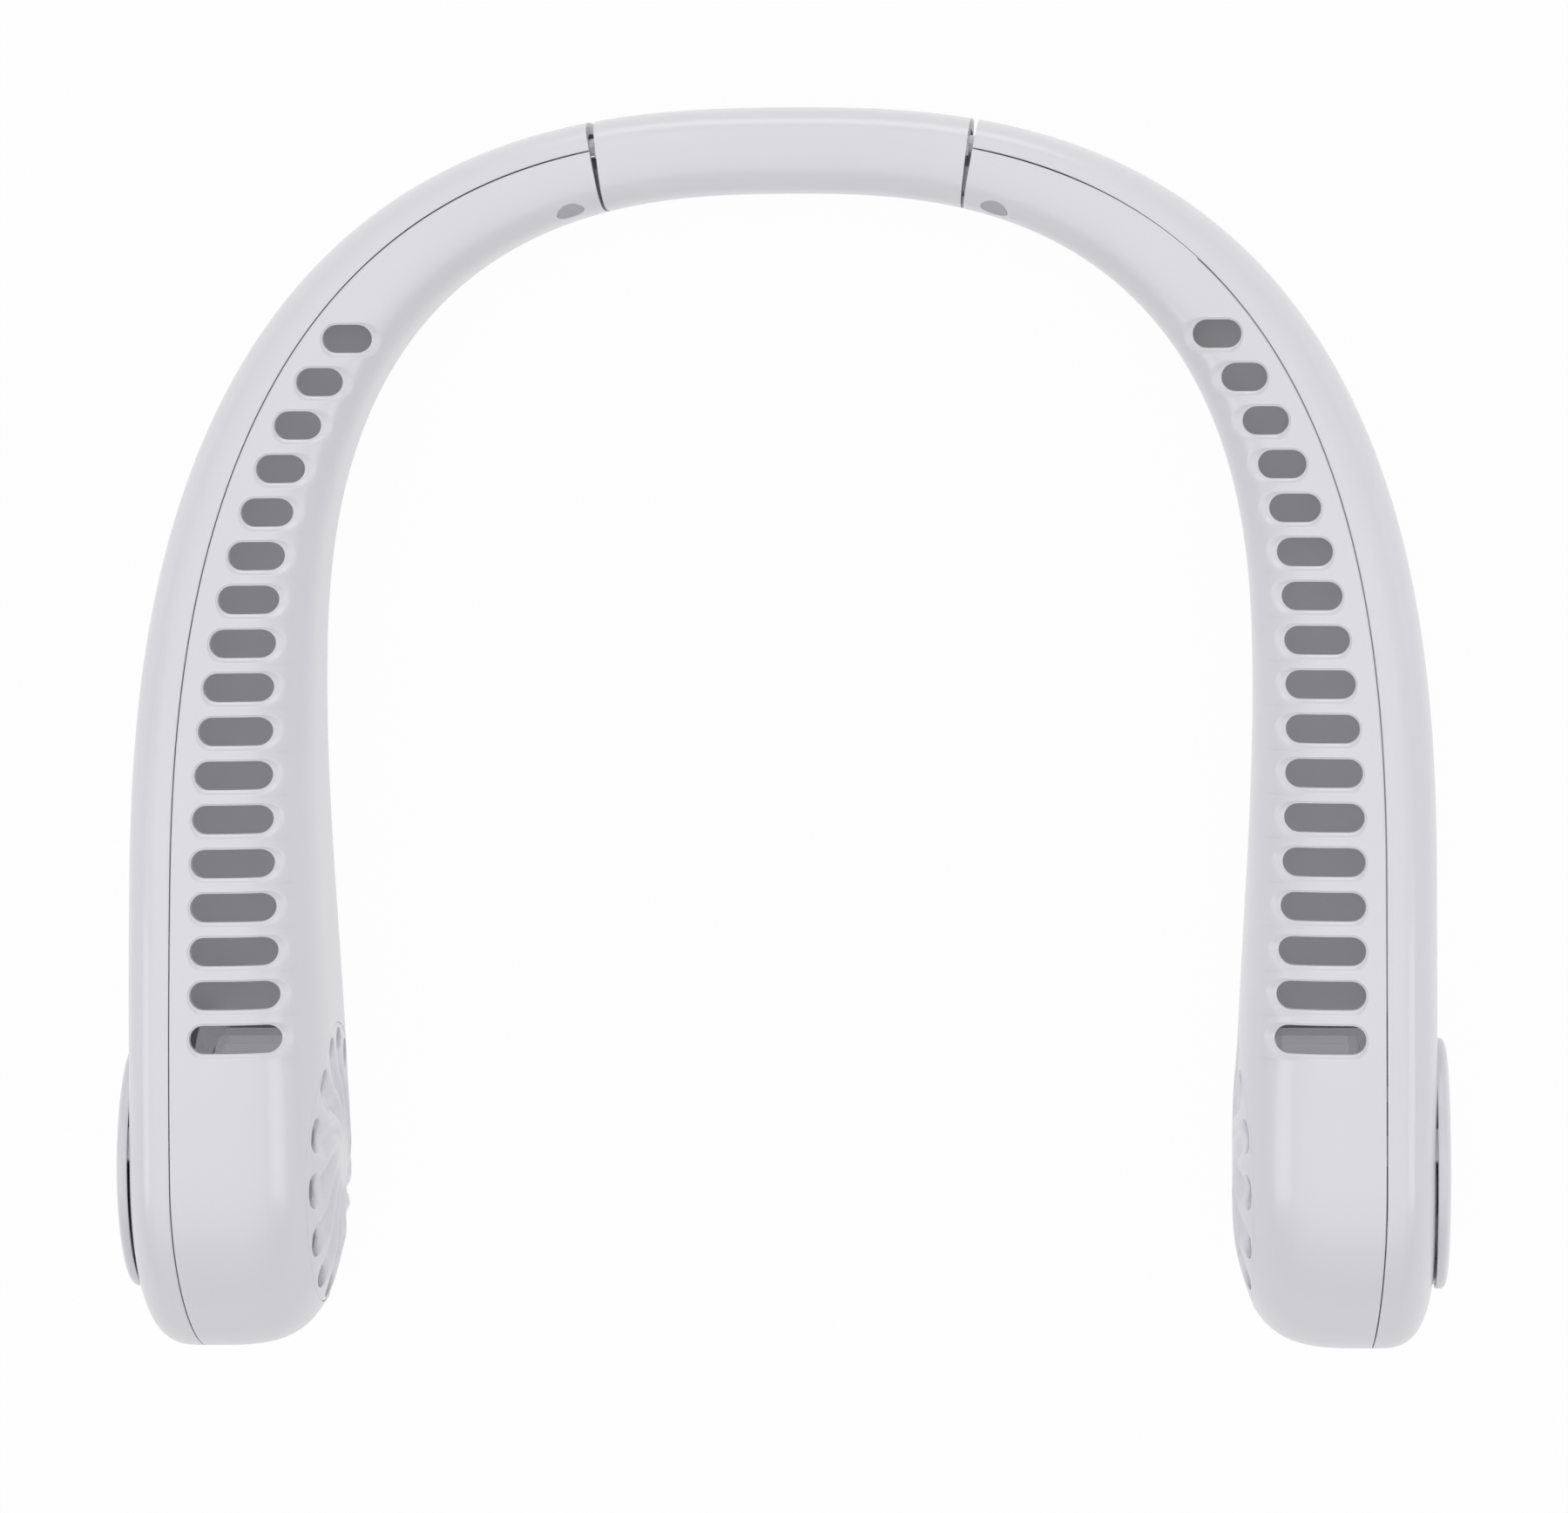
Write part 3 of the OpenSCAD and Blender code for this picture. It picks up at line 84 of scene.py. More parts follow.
class Join(Enum):
    """How a tool shape changes a piece."""

    ADD = "UNION"
    CUT = "DIFFERENCE"
    SHARE = "INTERSECT"


def superellipse(angle: np.ndarray, power: float) -> tuple[np.ndarray, np.ndarray]:
    """Two shares, along and up, on the rim of a superellipse in a direction.

    Args:
        angle: Direction from the side (0) to the crest (a right angle), in radians.
        power: Power of the superellipse.
    Returns:
        The share along the side and the share of the height.
    """
    along, up = np.cos(angle), np.sin(angle)
    along = np.where(np.abs(along) < ROUND_OFF, 0.0, along)
    up = np.where(np.abs(up) < ROUND_OFF, 0.0, up)
    norm = (np.abs(along) ** power + np.abs(up) ** power) ** (1 / power)
    return along / norm, up / norm


def arch(share: np.ndarray, power: float) -> np.ndarray:
    """Height share of a superellipse at a share of its half width."""
    return np.clip(1 - share**power, 0.0, 1.0) ** (1 / power)


def smooth(share: np.ndarray) -> np.ndarray:
    """A share from 0 to 1 with level ends."""
    held = np.clip(share, 0.0, 1.0)
    return held * held * (3 - 2 * held)


def section_angle(tip_share: np.ndarray, shares: np.ndarray, power: float) -> np.ndarray:
    """Directions on the section's rim, past what the round tip takes away.

    Args:
        tip_share: Share of the tip's reach, 0 behind the fan's axis.
        shares: Shares of the half width.
        power: Power of the superellipse.
    Returns:
        Angles from the side (0) to the crest (a right angle).
    """
    start = np.arcsin(np.clip(tip_share ** (power / 2), 0, 1))
    flat = np.arccos(np.clip(shares, 0, 1) ** (power / 2))
    return start + (QUARTER - start) * flat / QUARTER


def signs(count: int, edge: int) -> np.ndarray:
    """Plus one for the columns up to the edge, minus one for those under it."""
    return np.where(np.arange(count) <= edge, 1.0, -1.0)


@dataclass(frozen=True)
class CollarForm:
    """The collar's outlines and section, as in the part's source (millimetres)."""

    half_span: float = 100.2
    rear_y: float = 95.7
    fan_y: float = -67.3561
    wide_y: float = -25.6476
    outer_power: float = 2.6
    neck_half_w: float = 72.2
    neck_y: float = 5.742
    bridge_t: float = 13.3
    neck_power: float = 2.6
    neck_inset: float = 2.9
    end_r: float = 28.5
    tip_fit: float = 0.9945
    rear_h: float = 27.0
    belly_lift: float = 2.5
    foot_flat: float = 0.3
    wall: float = 1.8
    crest_front: float = 8.2
    crest_rear: float = 4.5
    crest_tip: float = 1.8
    parting_gap: float = 0.2
    outside_power: float = 3.4
    inside_power: float = 3.6
    joint_x: float = 30.35
    table_steps: int = 900
    table_end: float = 0.995
    search_end: float = 0.999
    halvings: int = 40
    bevel: tuple[tuple[float, float], ...] = ((0.1, 0.16), (0.24, 0.04), (0.42, 0.0))

    def back_share(self, y: np.ndarray) -> np.ndarray:
        """Share of the way from the fan axis to the back."""
        return np.clip((y - self.fan_y) / (self.rear_y - self.fan_y), 0.0, 1.0)

    def half_height(self, y: np.ndarray) -> np.ndarray:
        """Half the height of the section at a place along Y."""
        return self.end_r + (self.rear_h / 2 - self.end_r) * smooth(self.back_share(y))

    def mid_z(self, y: np.ndarray) -> np.ndarray:
        """Height of the section's middle."""
        lift = self.belly_lift * np.sin(np.pi * self.back_share(y)) ** 2
        return self.half_height(y) + lift - self.foot_flat

    def crest_inset(self, y: np.ndarray) -> np.ndarray:
        """Distance of the parting line from the outer outline."""
        return self.crest_front + (self.crest_rear - self.crest_front) * self.back_share(y) ** 4

    def eased(self, z: np.ndarray) -> np.ndarray:
        """Heights of an outer skin with its parting edges rounded and its foot flat.

        Args:
            z: Heights, with the columns from parting edge to parting edge last.
        Returns:
            The changed heights.
        """
        drop = np.zeros(z.shape[-1])
        for k, (_, fall) in enumerate(self.bevel):
            drop[k], drop[-1 - k] = -fall, fall
        return np.maximum(z + drop, 0.0)

    @property
    def outer_reach(self) -> float:
        """Depth of the outer outline's bend."""
        return self.rear_y - self.wide_y

    @property
    def neck_reach(self) -> float:
        """Depth of the neck opening's bend."""
        return self.rear_y - self.bridge_t - self.neck_y

    def outer_x(self, y: np.ndarray) -> np.ndarray:
        """X of the outer outline at a place along Y."""
        share = np.clip((y - self.wide_y) / self.outer_reach, 0.0, 1.0)
        return self.half_span * arch(share, self.outer_power)

    def neck_x(self, y: np.ndarray) -> np.ndarray:
        """X of the neck opening.

        Args:
            y: Places along Y.
        Returns:
            The X of each.
        """
        share = np.clip((y - self.neck_y) / self.neck_reach, 0.0, 1.0)
        behind = self.neck_half_w * arch(share, self.neck_power)
        fall = smooth((self.neck_y - y) / (self.neck_y - self.fan_y))
        return np.where(y > self.neck_y, behind, self.neck_half_w - self.neck_inset * fall)

    def outer_y(self, x: np.ndarray) -> np.ndarray:
        """Y of the outer outline at a place along X, at the back."""
        share = np.abs(x) / self.half_span
        return self.wide_y + self.outer_reach * arch(share, self.outer_power)

    def neck_back_y(self, x: np.ndarray) -> np.ndarray:
        """Y of the neck opening at a place along X, at the back."""
        share = np.abs(x) / self.neck_half_w
        return self.neck_y + self.neck_reach * arch(share, self.neck_power)

    def outline(self, angle: np.ndarray) -> tuple[np.ndarray, np.ndarray]:
        """Points of the outer bend and the directions square to it.

        Args:
            angle: Place on the bend, from the side (0) to the back (a right angle).
        Returns:
            Points and unit directions, each an array with X and Y last.
        """
        cos, sin = np.cos(angle), np.sin(angle)
        power = 2 / self.outer_power
        points = np.stack(
            [self.half_span * cos**power, self.wide_y + self.outer_reach * sin**power], -1
        )
        square = np.stack(
            [cos ** (2 - power) / self.half_span, sin ** (2 - power) / self.outer_reach], -1
        )
        return points, square / np.linalg.norm(square, axis=-1, keepdims=True)

    @property
    def joint_angle(self) -> float:
        """Place on the bend at which the arm ends."""
        return math.acos((self.joint_x / self.half_span) ** (self.outer_power / 2))

    def width_table(self) -> tuple[np.ndarray, np.ndarray]:
        """Widths of the arm, square to the outer bend.

        Returns:
            Places on the bend and the width at each.
        """
        angles = np.linspace(0.0, QUARTER * self.table_end, self.table_steps)
        points, square = self.outline(angles)
        near, far = np.zeros_like(angles), np.full_like(angles, self.half_span / 2)
        for _ in range(self.halvings):
            middle = (near + far) / 2
            at = points - square * middle[:, None]
            behind = at[:, 1] < self.rear_y - self.bridge_t
            inside = (at[:, 0] < self.neck_x(at[:, 1])) & behind
            far = np.where(inside, middle, far)
            near = np.where(inside, near, middle)
        return angles, (near + far) / 2


FORM = CollarForm()


class ArmSurface:
    """Heights of the neck half of an arm over any place in plan."""

    def __init__(self, form: CollarForm) -> None:
        """Keeps the form and its table of widths.

        Args:
            form: The collar's form.
        """
        self.form = form
        self.angles, self.widths = form.width_table()
        self.points, self.square = form.outline(self.angles)
        inset = form.crest_inset(self.points[:, 1])
        self.crests = self.points - self.square * inset[:, None]

    def bend_angle(self, plan: np.ndarray) -> np.ndarray:
        """Place on the bend whose section passes through each plan point.

        Args:
            plan: Places with X and Y last, X positive.
        Returns:
            Angles from the side (0) to the back (a right angle).
        """
        near = np.zeros(plan.shape[:-1])
        far = np.full(plan.shape[:-1], QUARTER * self.form.search_end)
        for _ in range(self.form.halvings + 4):
            middle = (near + far) / 2
            points, square = self.form.outline(middle)
            gap = plan - points
            ahead = gap[..., 0] * square[..., 1] - gap[..., 1] * square[..., 0] < 0
            near = np.where(ahead, middle, near)
            far = np.where(ahead, far, middle)
        return (near + far) / 2

    def rise(self, plan: np.ndarray, depth: float) -> np.ndarray:
        """Height of the neck half's skin over its middle.

        Args:
            plan: Places with X and Y last, X positive.
            depth: Depth below the surface.
        Returns:
            The heights, never below nothing.
        """
        form = self.form
        angle = self.bend_angle(plan)
        points, square = form.outline(angle)
        straight = plan[..., 1] <= form.wide_y
        across = np.where(
            straight, form.half_span - plan[..., 0], ((points - plan) * square).sum(-1)
        )
        width = np.where(
            straight,
            form.half_span - form.neck_x(plan[..., 1]),
            np.interp(angle, self.angles, self.widths),
        )
        crest = form.crest_inset(np.where(straight, plan[..., 1], points[..., 1]))
        share = np.clip((across - crest) / (width - crest - depth), 0.0, 1.0)
        return (form.half_height(plan[..., 1]) - depth) * arch(share, form.inside_power)

    def top(self, plan: np.ndarray, depth: float = 0.0) -> np.ndarray:
        """Height of the top skin over plan places, at a depth below the surface."""
        return self.form.mid_z(plan[..., 1]) + self.rise(plan, depth)

    def crest_at(self, y: np.ndarray) -> np.ndarray:
        """The parting line in plan.

        Args:
            y: Places along Y.
        Returns:
            The points, with X and Y last.
        """
        bend = np.interp(y, self.crests[:, 1], self.crests[:, 0])
        side = self.form.half_span - self.form.crest_inset(y)
        return np.stack([np.where(y <= self.form.wide_y, side, bend), y], -1)

    def neck_line(self, depth: float) -> np.ndarray:
        """The neck edge of the bend at a depth below the surface, point by point."""
        return self.points - self.square * (self.widths - depth)[:, None]

    def neck_at(self, y: np.ndarray, depth: float) -> np.ndarray:
        """The neck edge in plan.

        Args:
            y: Places along Y.
            depth: Depth below the surface.
        Returns:
            The points, with X and Y last.
        """
        straight = self.form.neck_x(y) + depth
        if depth == 0:
            return np.stack([straight, y], -1)
        line = self.neck_line(depth)
        bend = np.interp(y, line[:, 1], line[:, 0])
        return np.stack([np.where(y <= self.form.wide_y, straight, bend), y], -1)


SURFACE = ArmSurface(FORM)


class MeshPlan:
    """Collects points and faces of one piece, in millimetres."""

    def __init__(self) -> None:
        """Starts with nothing."""
        self.blocks: list[np.ndarray] = []
        self.faces: list[list[int]] = []
        self.count = 0

    def add(self, points: np.ndarray) -> np.ndarray:
        """Adds points.

        Args:
            points: Places in any layout, with X, Y and Z last.
        Returns:
            Their numbers in the same layout.
        """
        flat = points.reshape(-1, 3)
        numbers = np.arange(self.count, self.count + len(flat)).reshape(points.shape[:-1])
        self.blocks.append(flat)
        self.count += len(flat)
        return numbers

    def grid(
        self, numbers: np.ndarray, flip: bool = False, skip: np.ndarray | None = None
    ) -> None:
        """Joins a grid of points with four-cornered faces.

        Args:
            numbers: Point numbers, rows by columns.
            flip: Whether the faces look the other way.
            skip: Faces to leave out, rows less one by columns less one.
        """
        a, b = numbers[:-1, :-1], numbers[:-1, 1:]
        c, d = numbers[1:, 1:], numbers[1:, :-1]
        faces = np.stack([a, d, c, b] if flip else [a, b, c, d], -1)
        keep = faces.reshape(-1, 4) if skip is None else faces[~skip]
        self.faces.extend(keep.tolist())

    def ring(self, numbers: np.ndarray, flip: bool = False) -> None:
        """Joins rows of closed loops with faces."""
        self.grid(np.concatenate([numbers, numbers[:, :1]], 1), flip)

    def object(self, name: str, side: Side = Side.RIGHT) -> bpy.types.Object:
        """Makes the mesh object, in metres.

        Args:
            name: Name of the piece.
            side: Arm on which it lies.
        Returns:
            The new object, linked to the scene.
        """
        points = side.placed(np.concatenate(self.blocks)) * MM
        mesh = bpy.data.meshes.new(name)
        mesh.from_pydata(points.tolist(), [], self.faces)
        mesh.validate()
        return finish_mesh(mesh, name)


def linked(name: str, data: bpy.types.ID) -> bpy.types.Object:
    """Makes an object of the scene.

    Args:
        name: Name of the object.
        data: Its mesh, lamp or camera.
    Returns:
        The linked object.
    """
    made = bpy.data.objects.new(name, data)
    bpy.context.scene.collection.objects.link(made)
    return made


def finish_mesh(mesh: bpy.types.Mesh, name: str) -> bpy.types.Object:
    """Merges doubles, turns faces outwards, shades and links a mesh.

    Args:
        mesh: The mesh to finish.
        name: Name of the piece.
    Returns:
        The linked object.
    """
    work = bmesh.new()
    work.from_mesh(mesh)
    bmesh.ops.remove_doubles(work, verts=work.verts, dist=MERGE_DISTANCE)
    bmesh.ops.dissolve_degenerate(work, dist=SLIVER_LENGTH, edges=work.edges)
    bmesh.ops.recalc_face_normals(work, faces=work.faces)
    work.to_mesh(mesh)
    work.free()
    mesh.shade_smooth()
    mesh.set_sharp_from_angle(angle=CRISP_ANGLE)
    return linked(name, mesh)


def baked(source: bpy.types.Object) -> bpy.types.Object:
    """Turns an object with modifiers into a plain one of the same name.

    Args:
        source: The object to evaluate. It is removed.
    Returns:
        The plain object.
    """
    graph = bpy.context.evaluated_depsgraph_get()
    mesh = bpy.data.meshes.new_from_object(source.evaluated_get(graph))
    name = source.name
    bpy.data.objects.remove(source)
    mesh.name = name
    return finish_mesh(mesh, name)


def combined(piece: bpy.types.Object, tool: bpy.types.Object, how: Join) -> bpy.types.Object:
    """Adds a tool shape to a piece, cuts it out or keeps what both share.

    Args:
        piece: The piece to change.
        tool: The shape to use. It is removed.
        how: What is done with the shape.
    Returns:
        The changed piece.
    """
    step = piece.modifiers.new("tool", "BOOLEAN")
    step.solver = "EXACT"
    step.operation = how.value
    step.object = tool
    changed = baked(piece)
    bpy.data.objects.remove(tool)
    return changed


@dataclass(frozen=True)
class FanAxis:
    """The fan's own frame: Z runs along the axis from the neck side outwards."""

    face_x: float = 69.3
    fan_y: float = FORM.fan_y
    mid_z: float = 28.2

    @property
    def crest_z(self) -> float:
        """Place along the axis of the parting line."""
        return FORM.half_span - self.face_x - FORM.crest_front

    def world(self, points: np.ndarray) -> np.ndarray:
        """Places of the fan frame in the row frame, for the right arm."""
        up, back, out = points[..., 0], points[..., 1], points[..., 2]
        return np.stack([self.face_x + out, self.fan_y + back, self.mid_z - up], -1)

    def polar(self, radius: np.ndarray, angle: np.ndarray, axial: np.ndarray) -> np.ndarray:
        """Fan-frame places by radius, angle (0 back, a right angle up) and place on the axis."""
        radius, angle, axial = np.broadcast_arrays(radius, angle, axial)
        return np.stack([-radius * np.sin(angle), radius * np.cos(angle), axial], -1)

    def neck_face(self, radius: np.ndarray) -> np.ndarray:
        """Place along the axis of the round end's neck face, at a radius."""
        share = np.clip(radius / FORM.end_r, 0.0, 1.0)
        return self.crest_z - self.crest_z * arch(share, FORM.inside_power)


AXIS = FanAxis()


def revolved(profile: np.ndarray, steps: int = 96) -> MeshPlan:
    """A closed solid turned round the fan's axis from a half profile.

    Args:
        profile: Radius and place along the axis, from pole to pole or as a closed loop.
        steps: Faces round the axis.
    Returns:
        The plan of the solid, in the row frame.
    """
    plan = MeshPlan()
    angles = np.linspace(0, 2 * np.pi, steps, endpoint=False)
    points = AXIS.polar(profile[:, :1], angles[None, :], profile[:, 1:])
    plan.ring(plan.add(AXIS.world(points)))
    return plan


def round_rod(start: np.ndarray, end: np.ndarray, radius: float, steps: int = 48) -> MeshPlan:
    """A cylinder between two places.

    Args:
        start: Middle of its first face, in the row frame.
        end: Middle of its last face.
        radius: Radius of the cylinder.
        steps: Faces round it.
    Returns:
        The plan of the solid.
    """
    length = float(np.linalg.norm(end - start))
    axis = (end - start) / length
    helper = np.array([0.0, 0.0, 1.0] if abs(axis[2]) < UPRIGHT else [1.0, 0.0, 0.0])
    first = np.cross(axis, helper)
    first /= np.linalg.norm(first)
    second = np.cross(axis, first)
    angles = np.linspace(0, 2 * np.pi, steps, endpoint=False)[:, None]
    loop = np.cos(angles) * first + np.sin(angles) * second
    profile = (0.0, 0.0), (radius, 0.0), (radius, length), (0.0, length)
    plan = MeshPlan()
    plan.ring(plan.add(np.stack([start + axis * along + loop * r for r, along in profile])))
    return plan


def axial_rod(profile: list[tuple[float, float]], ring: float, steps: int) -> MeshPlan:
    """A turned solid beside the fan's axis, in the fan's frame.

    Args:
        profile: Radius and place along the axis, from pole to pole.
        ring: Distance from the fan's axis.
        steps: Faces round the solid.
    Returns:
        The plan of the solid.
    """
    plan = MeshPlan()
    angles = np.linspace(0, 2 * np.pi, steps, endpoint=False)
    outline = np.array(profile)
    points = AXIS.polar(outline[:, :1], angles[None], outline[:, 1:])
    points[..., 1] += ring
    plan.ring(plan.add(points))
    return plan


@dataclass
class SlotRow:
    """The outlet slots of an arm: places, ends and lips (millimetres)."""

    count: int = 17
    first_y: float = 60.4058
    pitch: float = 6.61012
    width: float = 4.29658
    outer_margin: float = 11.3
    neck_margin: float = 5.3
    neck_margin_rear: float = 4.4
    scoop_reach: float = 1.9
    scoop_depth: float = 0.9
    lip_reach: float = 0.95
    lip_depth: float = 0.62
    rim_reach: float = 0.34
    rim_depth: float = 0.22
    edge_round: float = 0.16
    edge_rows: tuple[tuple[float, float], ...] = ((0.0, 2.0), (0.0, 1.0), (0.3, 0.3))
    scoop_shares: tuple[float, ...] = (0.0, 0.16, 0.32, 0.48, 0.64, 0.78, 0.9, 1.0)
    level_shares: tuple[float, ...] = (0.12, 0.27, 0.42, 0.57, 0.72, 0.87)
    cell_neck: float = 1.0
    cell_outer: float = 1.1
    inside_cell_outer: float = 0.8
    straight_steps: int = 12
    arc_steps: int = 14
    corner_shift: int = 3
    row_steps: int = 8
    column_steps: int = 18

    def y(self, number: np.ndarray) -> np.ndarray:
        """Middle of a slot along Y."""
        return self.first_y - self.pitch * number

    def number(self, y: np.ndarray) -> np.ndarray:
        """Slot number, with its fraction, at a place along Y."""
        return (self.first_y - y) / self.pitch

    def neck_end(self, y: np.ndarray) -> np.ndarray:
        """X of a slot's neck end."""
        rate = (self.neck_margin - self.neck_margin_rear) / (self.count - 1)
        return FORM.neck_x(y) + self.neck_margin_rear + rate * self.number(y)

    def outer_end(self, y: np.ndarray) -> np.ndarray:
        """X of a slot's outer end."""
        return FORM.outer_x(y) - self.outer_margin

    def loop(self, number: int) -> tuple[np.ndarray, np.ndarray]:
        """A slot's outline in plan and the directions that lead out of it.

        Args:
            number: Slot number, 0 at the back.
        Returns:
            Points and unit directions, in the order of the cell's border.
        """
        y = float(self.y(number))
        neck, outer = float(self.neck_end(y)), float(self.outer_end(y))
        half = self.width / 2
        straight = np.linspace(0, 1, self.straight_steps, endpoint=False)[:, None]
        arc = np.linspace(0, np.pi, self.arc_steps, endpoint=False)
        length = outer - neck - 2 * half
        front = np.array([outer - half, y - half]) - straight * np.array([length, 0.0])
        back = np.array([neck + half, y + half]) + straight * np.array([length, 0.0])
        turn = np.stack([-np.sin(arc), -np.cos(arc)], -1)
        neck_arc = np.array([neck + half, y]) + half * turn
        outer_arc = np.array([outer - half, y]) - half * turn
        points = np.concatenate([front, neck_arc, back, outer_arc])
        down = np.tile([0.0, -1.0], (self.straight_steps, 1))
        out = np.concatenate([down, turn, -down, -turn])
        return np.roll(points, self.corner_shift, 0), np.roll(out, self.corner_shift, 0)

    def blend(self, out: np.ndarray, neck: float, front: float, rest: float) -> np.ndarray:
        """A size that changes with the direction in which an edge faces.

        Args:
            out: Unit directions that lead out of the slot.
            neck: Size towards the neck.
            front: Size towards the front.
            rest: Size outwards and towards the back.
        Returns:
            The size for each direction.
        """
        x, y = out[:, 0], out[:, 1]
        return (
            neck * np.minimum(x, 0) ** 2
            + rest * np.maximum(x, 0) ** 2
            + front * np.minimum(y, 0) ** 2
            + rest * np.maximum(y, 0) ** 2
        )


@dataclass
class NeckShell:
    """The neck-side shell of an arm with its outlet slots, one closed moulding."""

    slots: SlotRow = field(default_factory=SlotRow)
    tip_steps: int = 26
    front_steps: int = 12
    turn_steps: int = 36
    crest_columns: int = 6
    lip_columns: int = 16
    belly_columns: int = 40

    def plan_rows(self, depth: float) -> tuple[np.ndarray, np.ndarray, np.ndarray, np.ndarray]:
        """Ends of each row in plan and the shares at which its slot columns start and end.

        Args:
            depth: Depth below the surface.
        Returns:
            Crest ends, neck ends, outer column shares and neck column shares.
        """
        slots = self.slots
        front = float(slots.y(slots.count - 1)) - slots.pitch / 2
        back = slots.first_y + slots.pitch / 2
        y = np.concatenate([
            np.linspace(FORM.fan_y, front, self.front_steps, endpoint=False),
            np.linspace(front, back, slots.count * slots.row_steps + 1),
        ])
        crest, neck = SURFACE.crest_at(y), SURFACE.neck_at(y, depth)
        reach = slots.cell_neck + (0.0 if depth else slots.scoop_reach)
        outer_reach = slots.inside_cell_outer if depth else slots.rim_reach + slots.cell_outer
        length = crest[:, 0] - neck[:, 0]
        neck_share = (crest[:, 0] - slots.neck_end(y) + reach) / length
        outer_share = (crest[:, 0] - slots.outer_end(y) - outer_reach) / length
        line = SURFACE.neck_line(depth)
        crest_start = np.interp(back, SURFACE.crests[:, 1], SURFACE.angles)
        neck_start = np.interp(back, line[:, 1], SURFACE.angles)
        share = np.linspace(0, 1, self.turn_steps + 1)[1:]
        crest_angle = crest_start + (FORM.joint_angle - crest_start) * share
        neck_angle = neck_start + (FORM.joint_angle - neck_start) * share
        crest_turn, neck_turn = (
            np.stack([np.interp(angle, SURFACE.angles, table[:, k]) for k in (0, 1)], -1)
            for angle, table in ((crest_angle, SURFACE.crests), (neck_angle, line))
        )
        return (
            np.concatenate([crest, crest_turn]),
            np.concatenate([neck, neck_turn]),
            np.concatenate([outer_share, np.full(self.turn_steps, outer_share[-1])]),
            np.concatenate([neck_share, np.full(self.turn_steps, neck_share[-1])]),
        )

    def columns(self, length: float, outer: float, neck: float) -> np.ndarray:
        """Shares of a row from the crest over the neck edge back to the crest.

        Args:
            length: Length of the row in plan.
            outer: Share at which the slot columns start.
            neck: Share at which they end.
        Returns:
            Shares of the top from crest to neck edge, then of the belly.
        """
        power = FORM.inside_power
        edge = np.array([reach / length for reach, _ in FORM.bevel])
        first = np.linspace(edge[-1], outer, self.crest_columns + 1)[1:]
        middle = np.linspace(outer, neck, self.slots.column_steps + 1)[1:]
        start = math.atan2((1 - neck**power) ** (1 / power), neck)
        lip = superellipse(np.linspace(start, 0, self.lip_columns + 1)[1:], power)[0]
        belly = superellipse(np.linspace(0, QUARTER, self.belly_columns + 1)[1:-1], power)[0]
        return np.concatenate([edge, first, middle, lip, belly, edge[::-1]])

    @property
    def slot_columns(self) -> tuple[int, int]:
        """Numbers of the first and the last slot column."""
        first = len(FORM.bevel) - 1 + self.crest_columns
        return first, first + self.slots.column_steps

    @property
    def edge_column(self) -> int:
        """Number of the column on the neck edge."""
        return self.slot_columns[1] + self.lip_columns

    def skin(self, depth: float) -> np.ndarray:
        """Points of one skin, rows from the tip to the joint by columns.

        Args:
            depth: Depth below the surface.
        Returns:
            Places in the row frame.
        """
        crest, neck, outer, inner = self.plan_rows(depth)
        length = np.linalg.norm(crest - neck, axis=1)
        shares = np.stack([self.columns(*row) for row in zip(length, outer, inner)])
        plan = crest[:, None] + (neck - crest)[:, None] * shares[..., None]
        rise = SURFACE.rise(plan, depth)
        rise[:, self.edge_column] = 0.0
        z = FORM.mid_z(plan[..., 1]) + signs(shares.shape[1], self.edge_column) * rise
        body = np.concatenate([plan, z[..., None]], -1)
        whole = np.concatenate([self.tip(shares[0], depth), body])
        if depth == 0:
            whole[..., 2] = FORM.eased(whole[..., 2])
        return whole

    def tip(self, shares: np.ndarray, depth: float) -> np.ndarray:
        """Rows of the rounded front end, from its pole to the fan axis.

        Args:
            shares: Shares of the row at the fan axis.
            depth: Depth below the surface.
        Returns:
            Places in the row frame.
        """
        power = FORM.inside_power
        beta = np.linspace(QUARTER, 0, self.tip_steps, endpoint=False)[:, None]
        tip_share = np.sin(beta)
        crest = FORM.crest_front + FORM.crest_tip * tip_share**2
        semi = FORM.half_span - float(FORM.neck_x(np.array(FORM.fan_y))) - crest - depth
        angle = section_angle(tip_share, shares[None], power)
        reach = semi * np.cos(angle) ** (2 / power)
        held = np.maximum(reach, FORM.parting_gap / 2)
        forward = (FORM.end_r - depth) * tip_share * FORM.tip_fit
        rise = (FORM.end_r - depth) * np.sin(angle) ** (2 / power)
        up = np.sqrt(np.maximum(0, rise**2 - forward**2))
        up[:, self.edge_column] = 0.0
        x = FORM.half_span - crest - held
        y = np.broadcast_to(FORM.fan_y - forward, x.shape)
        z = float(FORM.mid_z(np.array(FORM.fan_y))) + signs(len(shares), self.edge_column) * up
        return np.stack([x, y, z], -1)

    def border(self, numbers: np.ndarray, first_row: int) -> np.ndarray:
        """The points round one slot's cell.

        Args:
            numbers: Point numbers of a skin.
            first_row: Row at which the cell starts.
        Returns:
            Their numbers, front side first.
        """
        low, high = self.slot_columns
        last_row = first_row + self.slots.row_steps
        return np.concatenate([
            numbers[first_row, low:high],
            numbers[first_row:last_row, high],
            numbers[last_row, high:low:-1],
            numbers[last_row:first_row:-1, low],
        ])

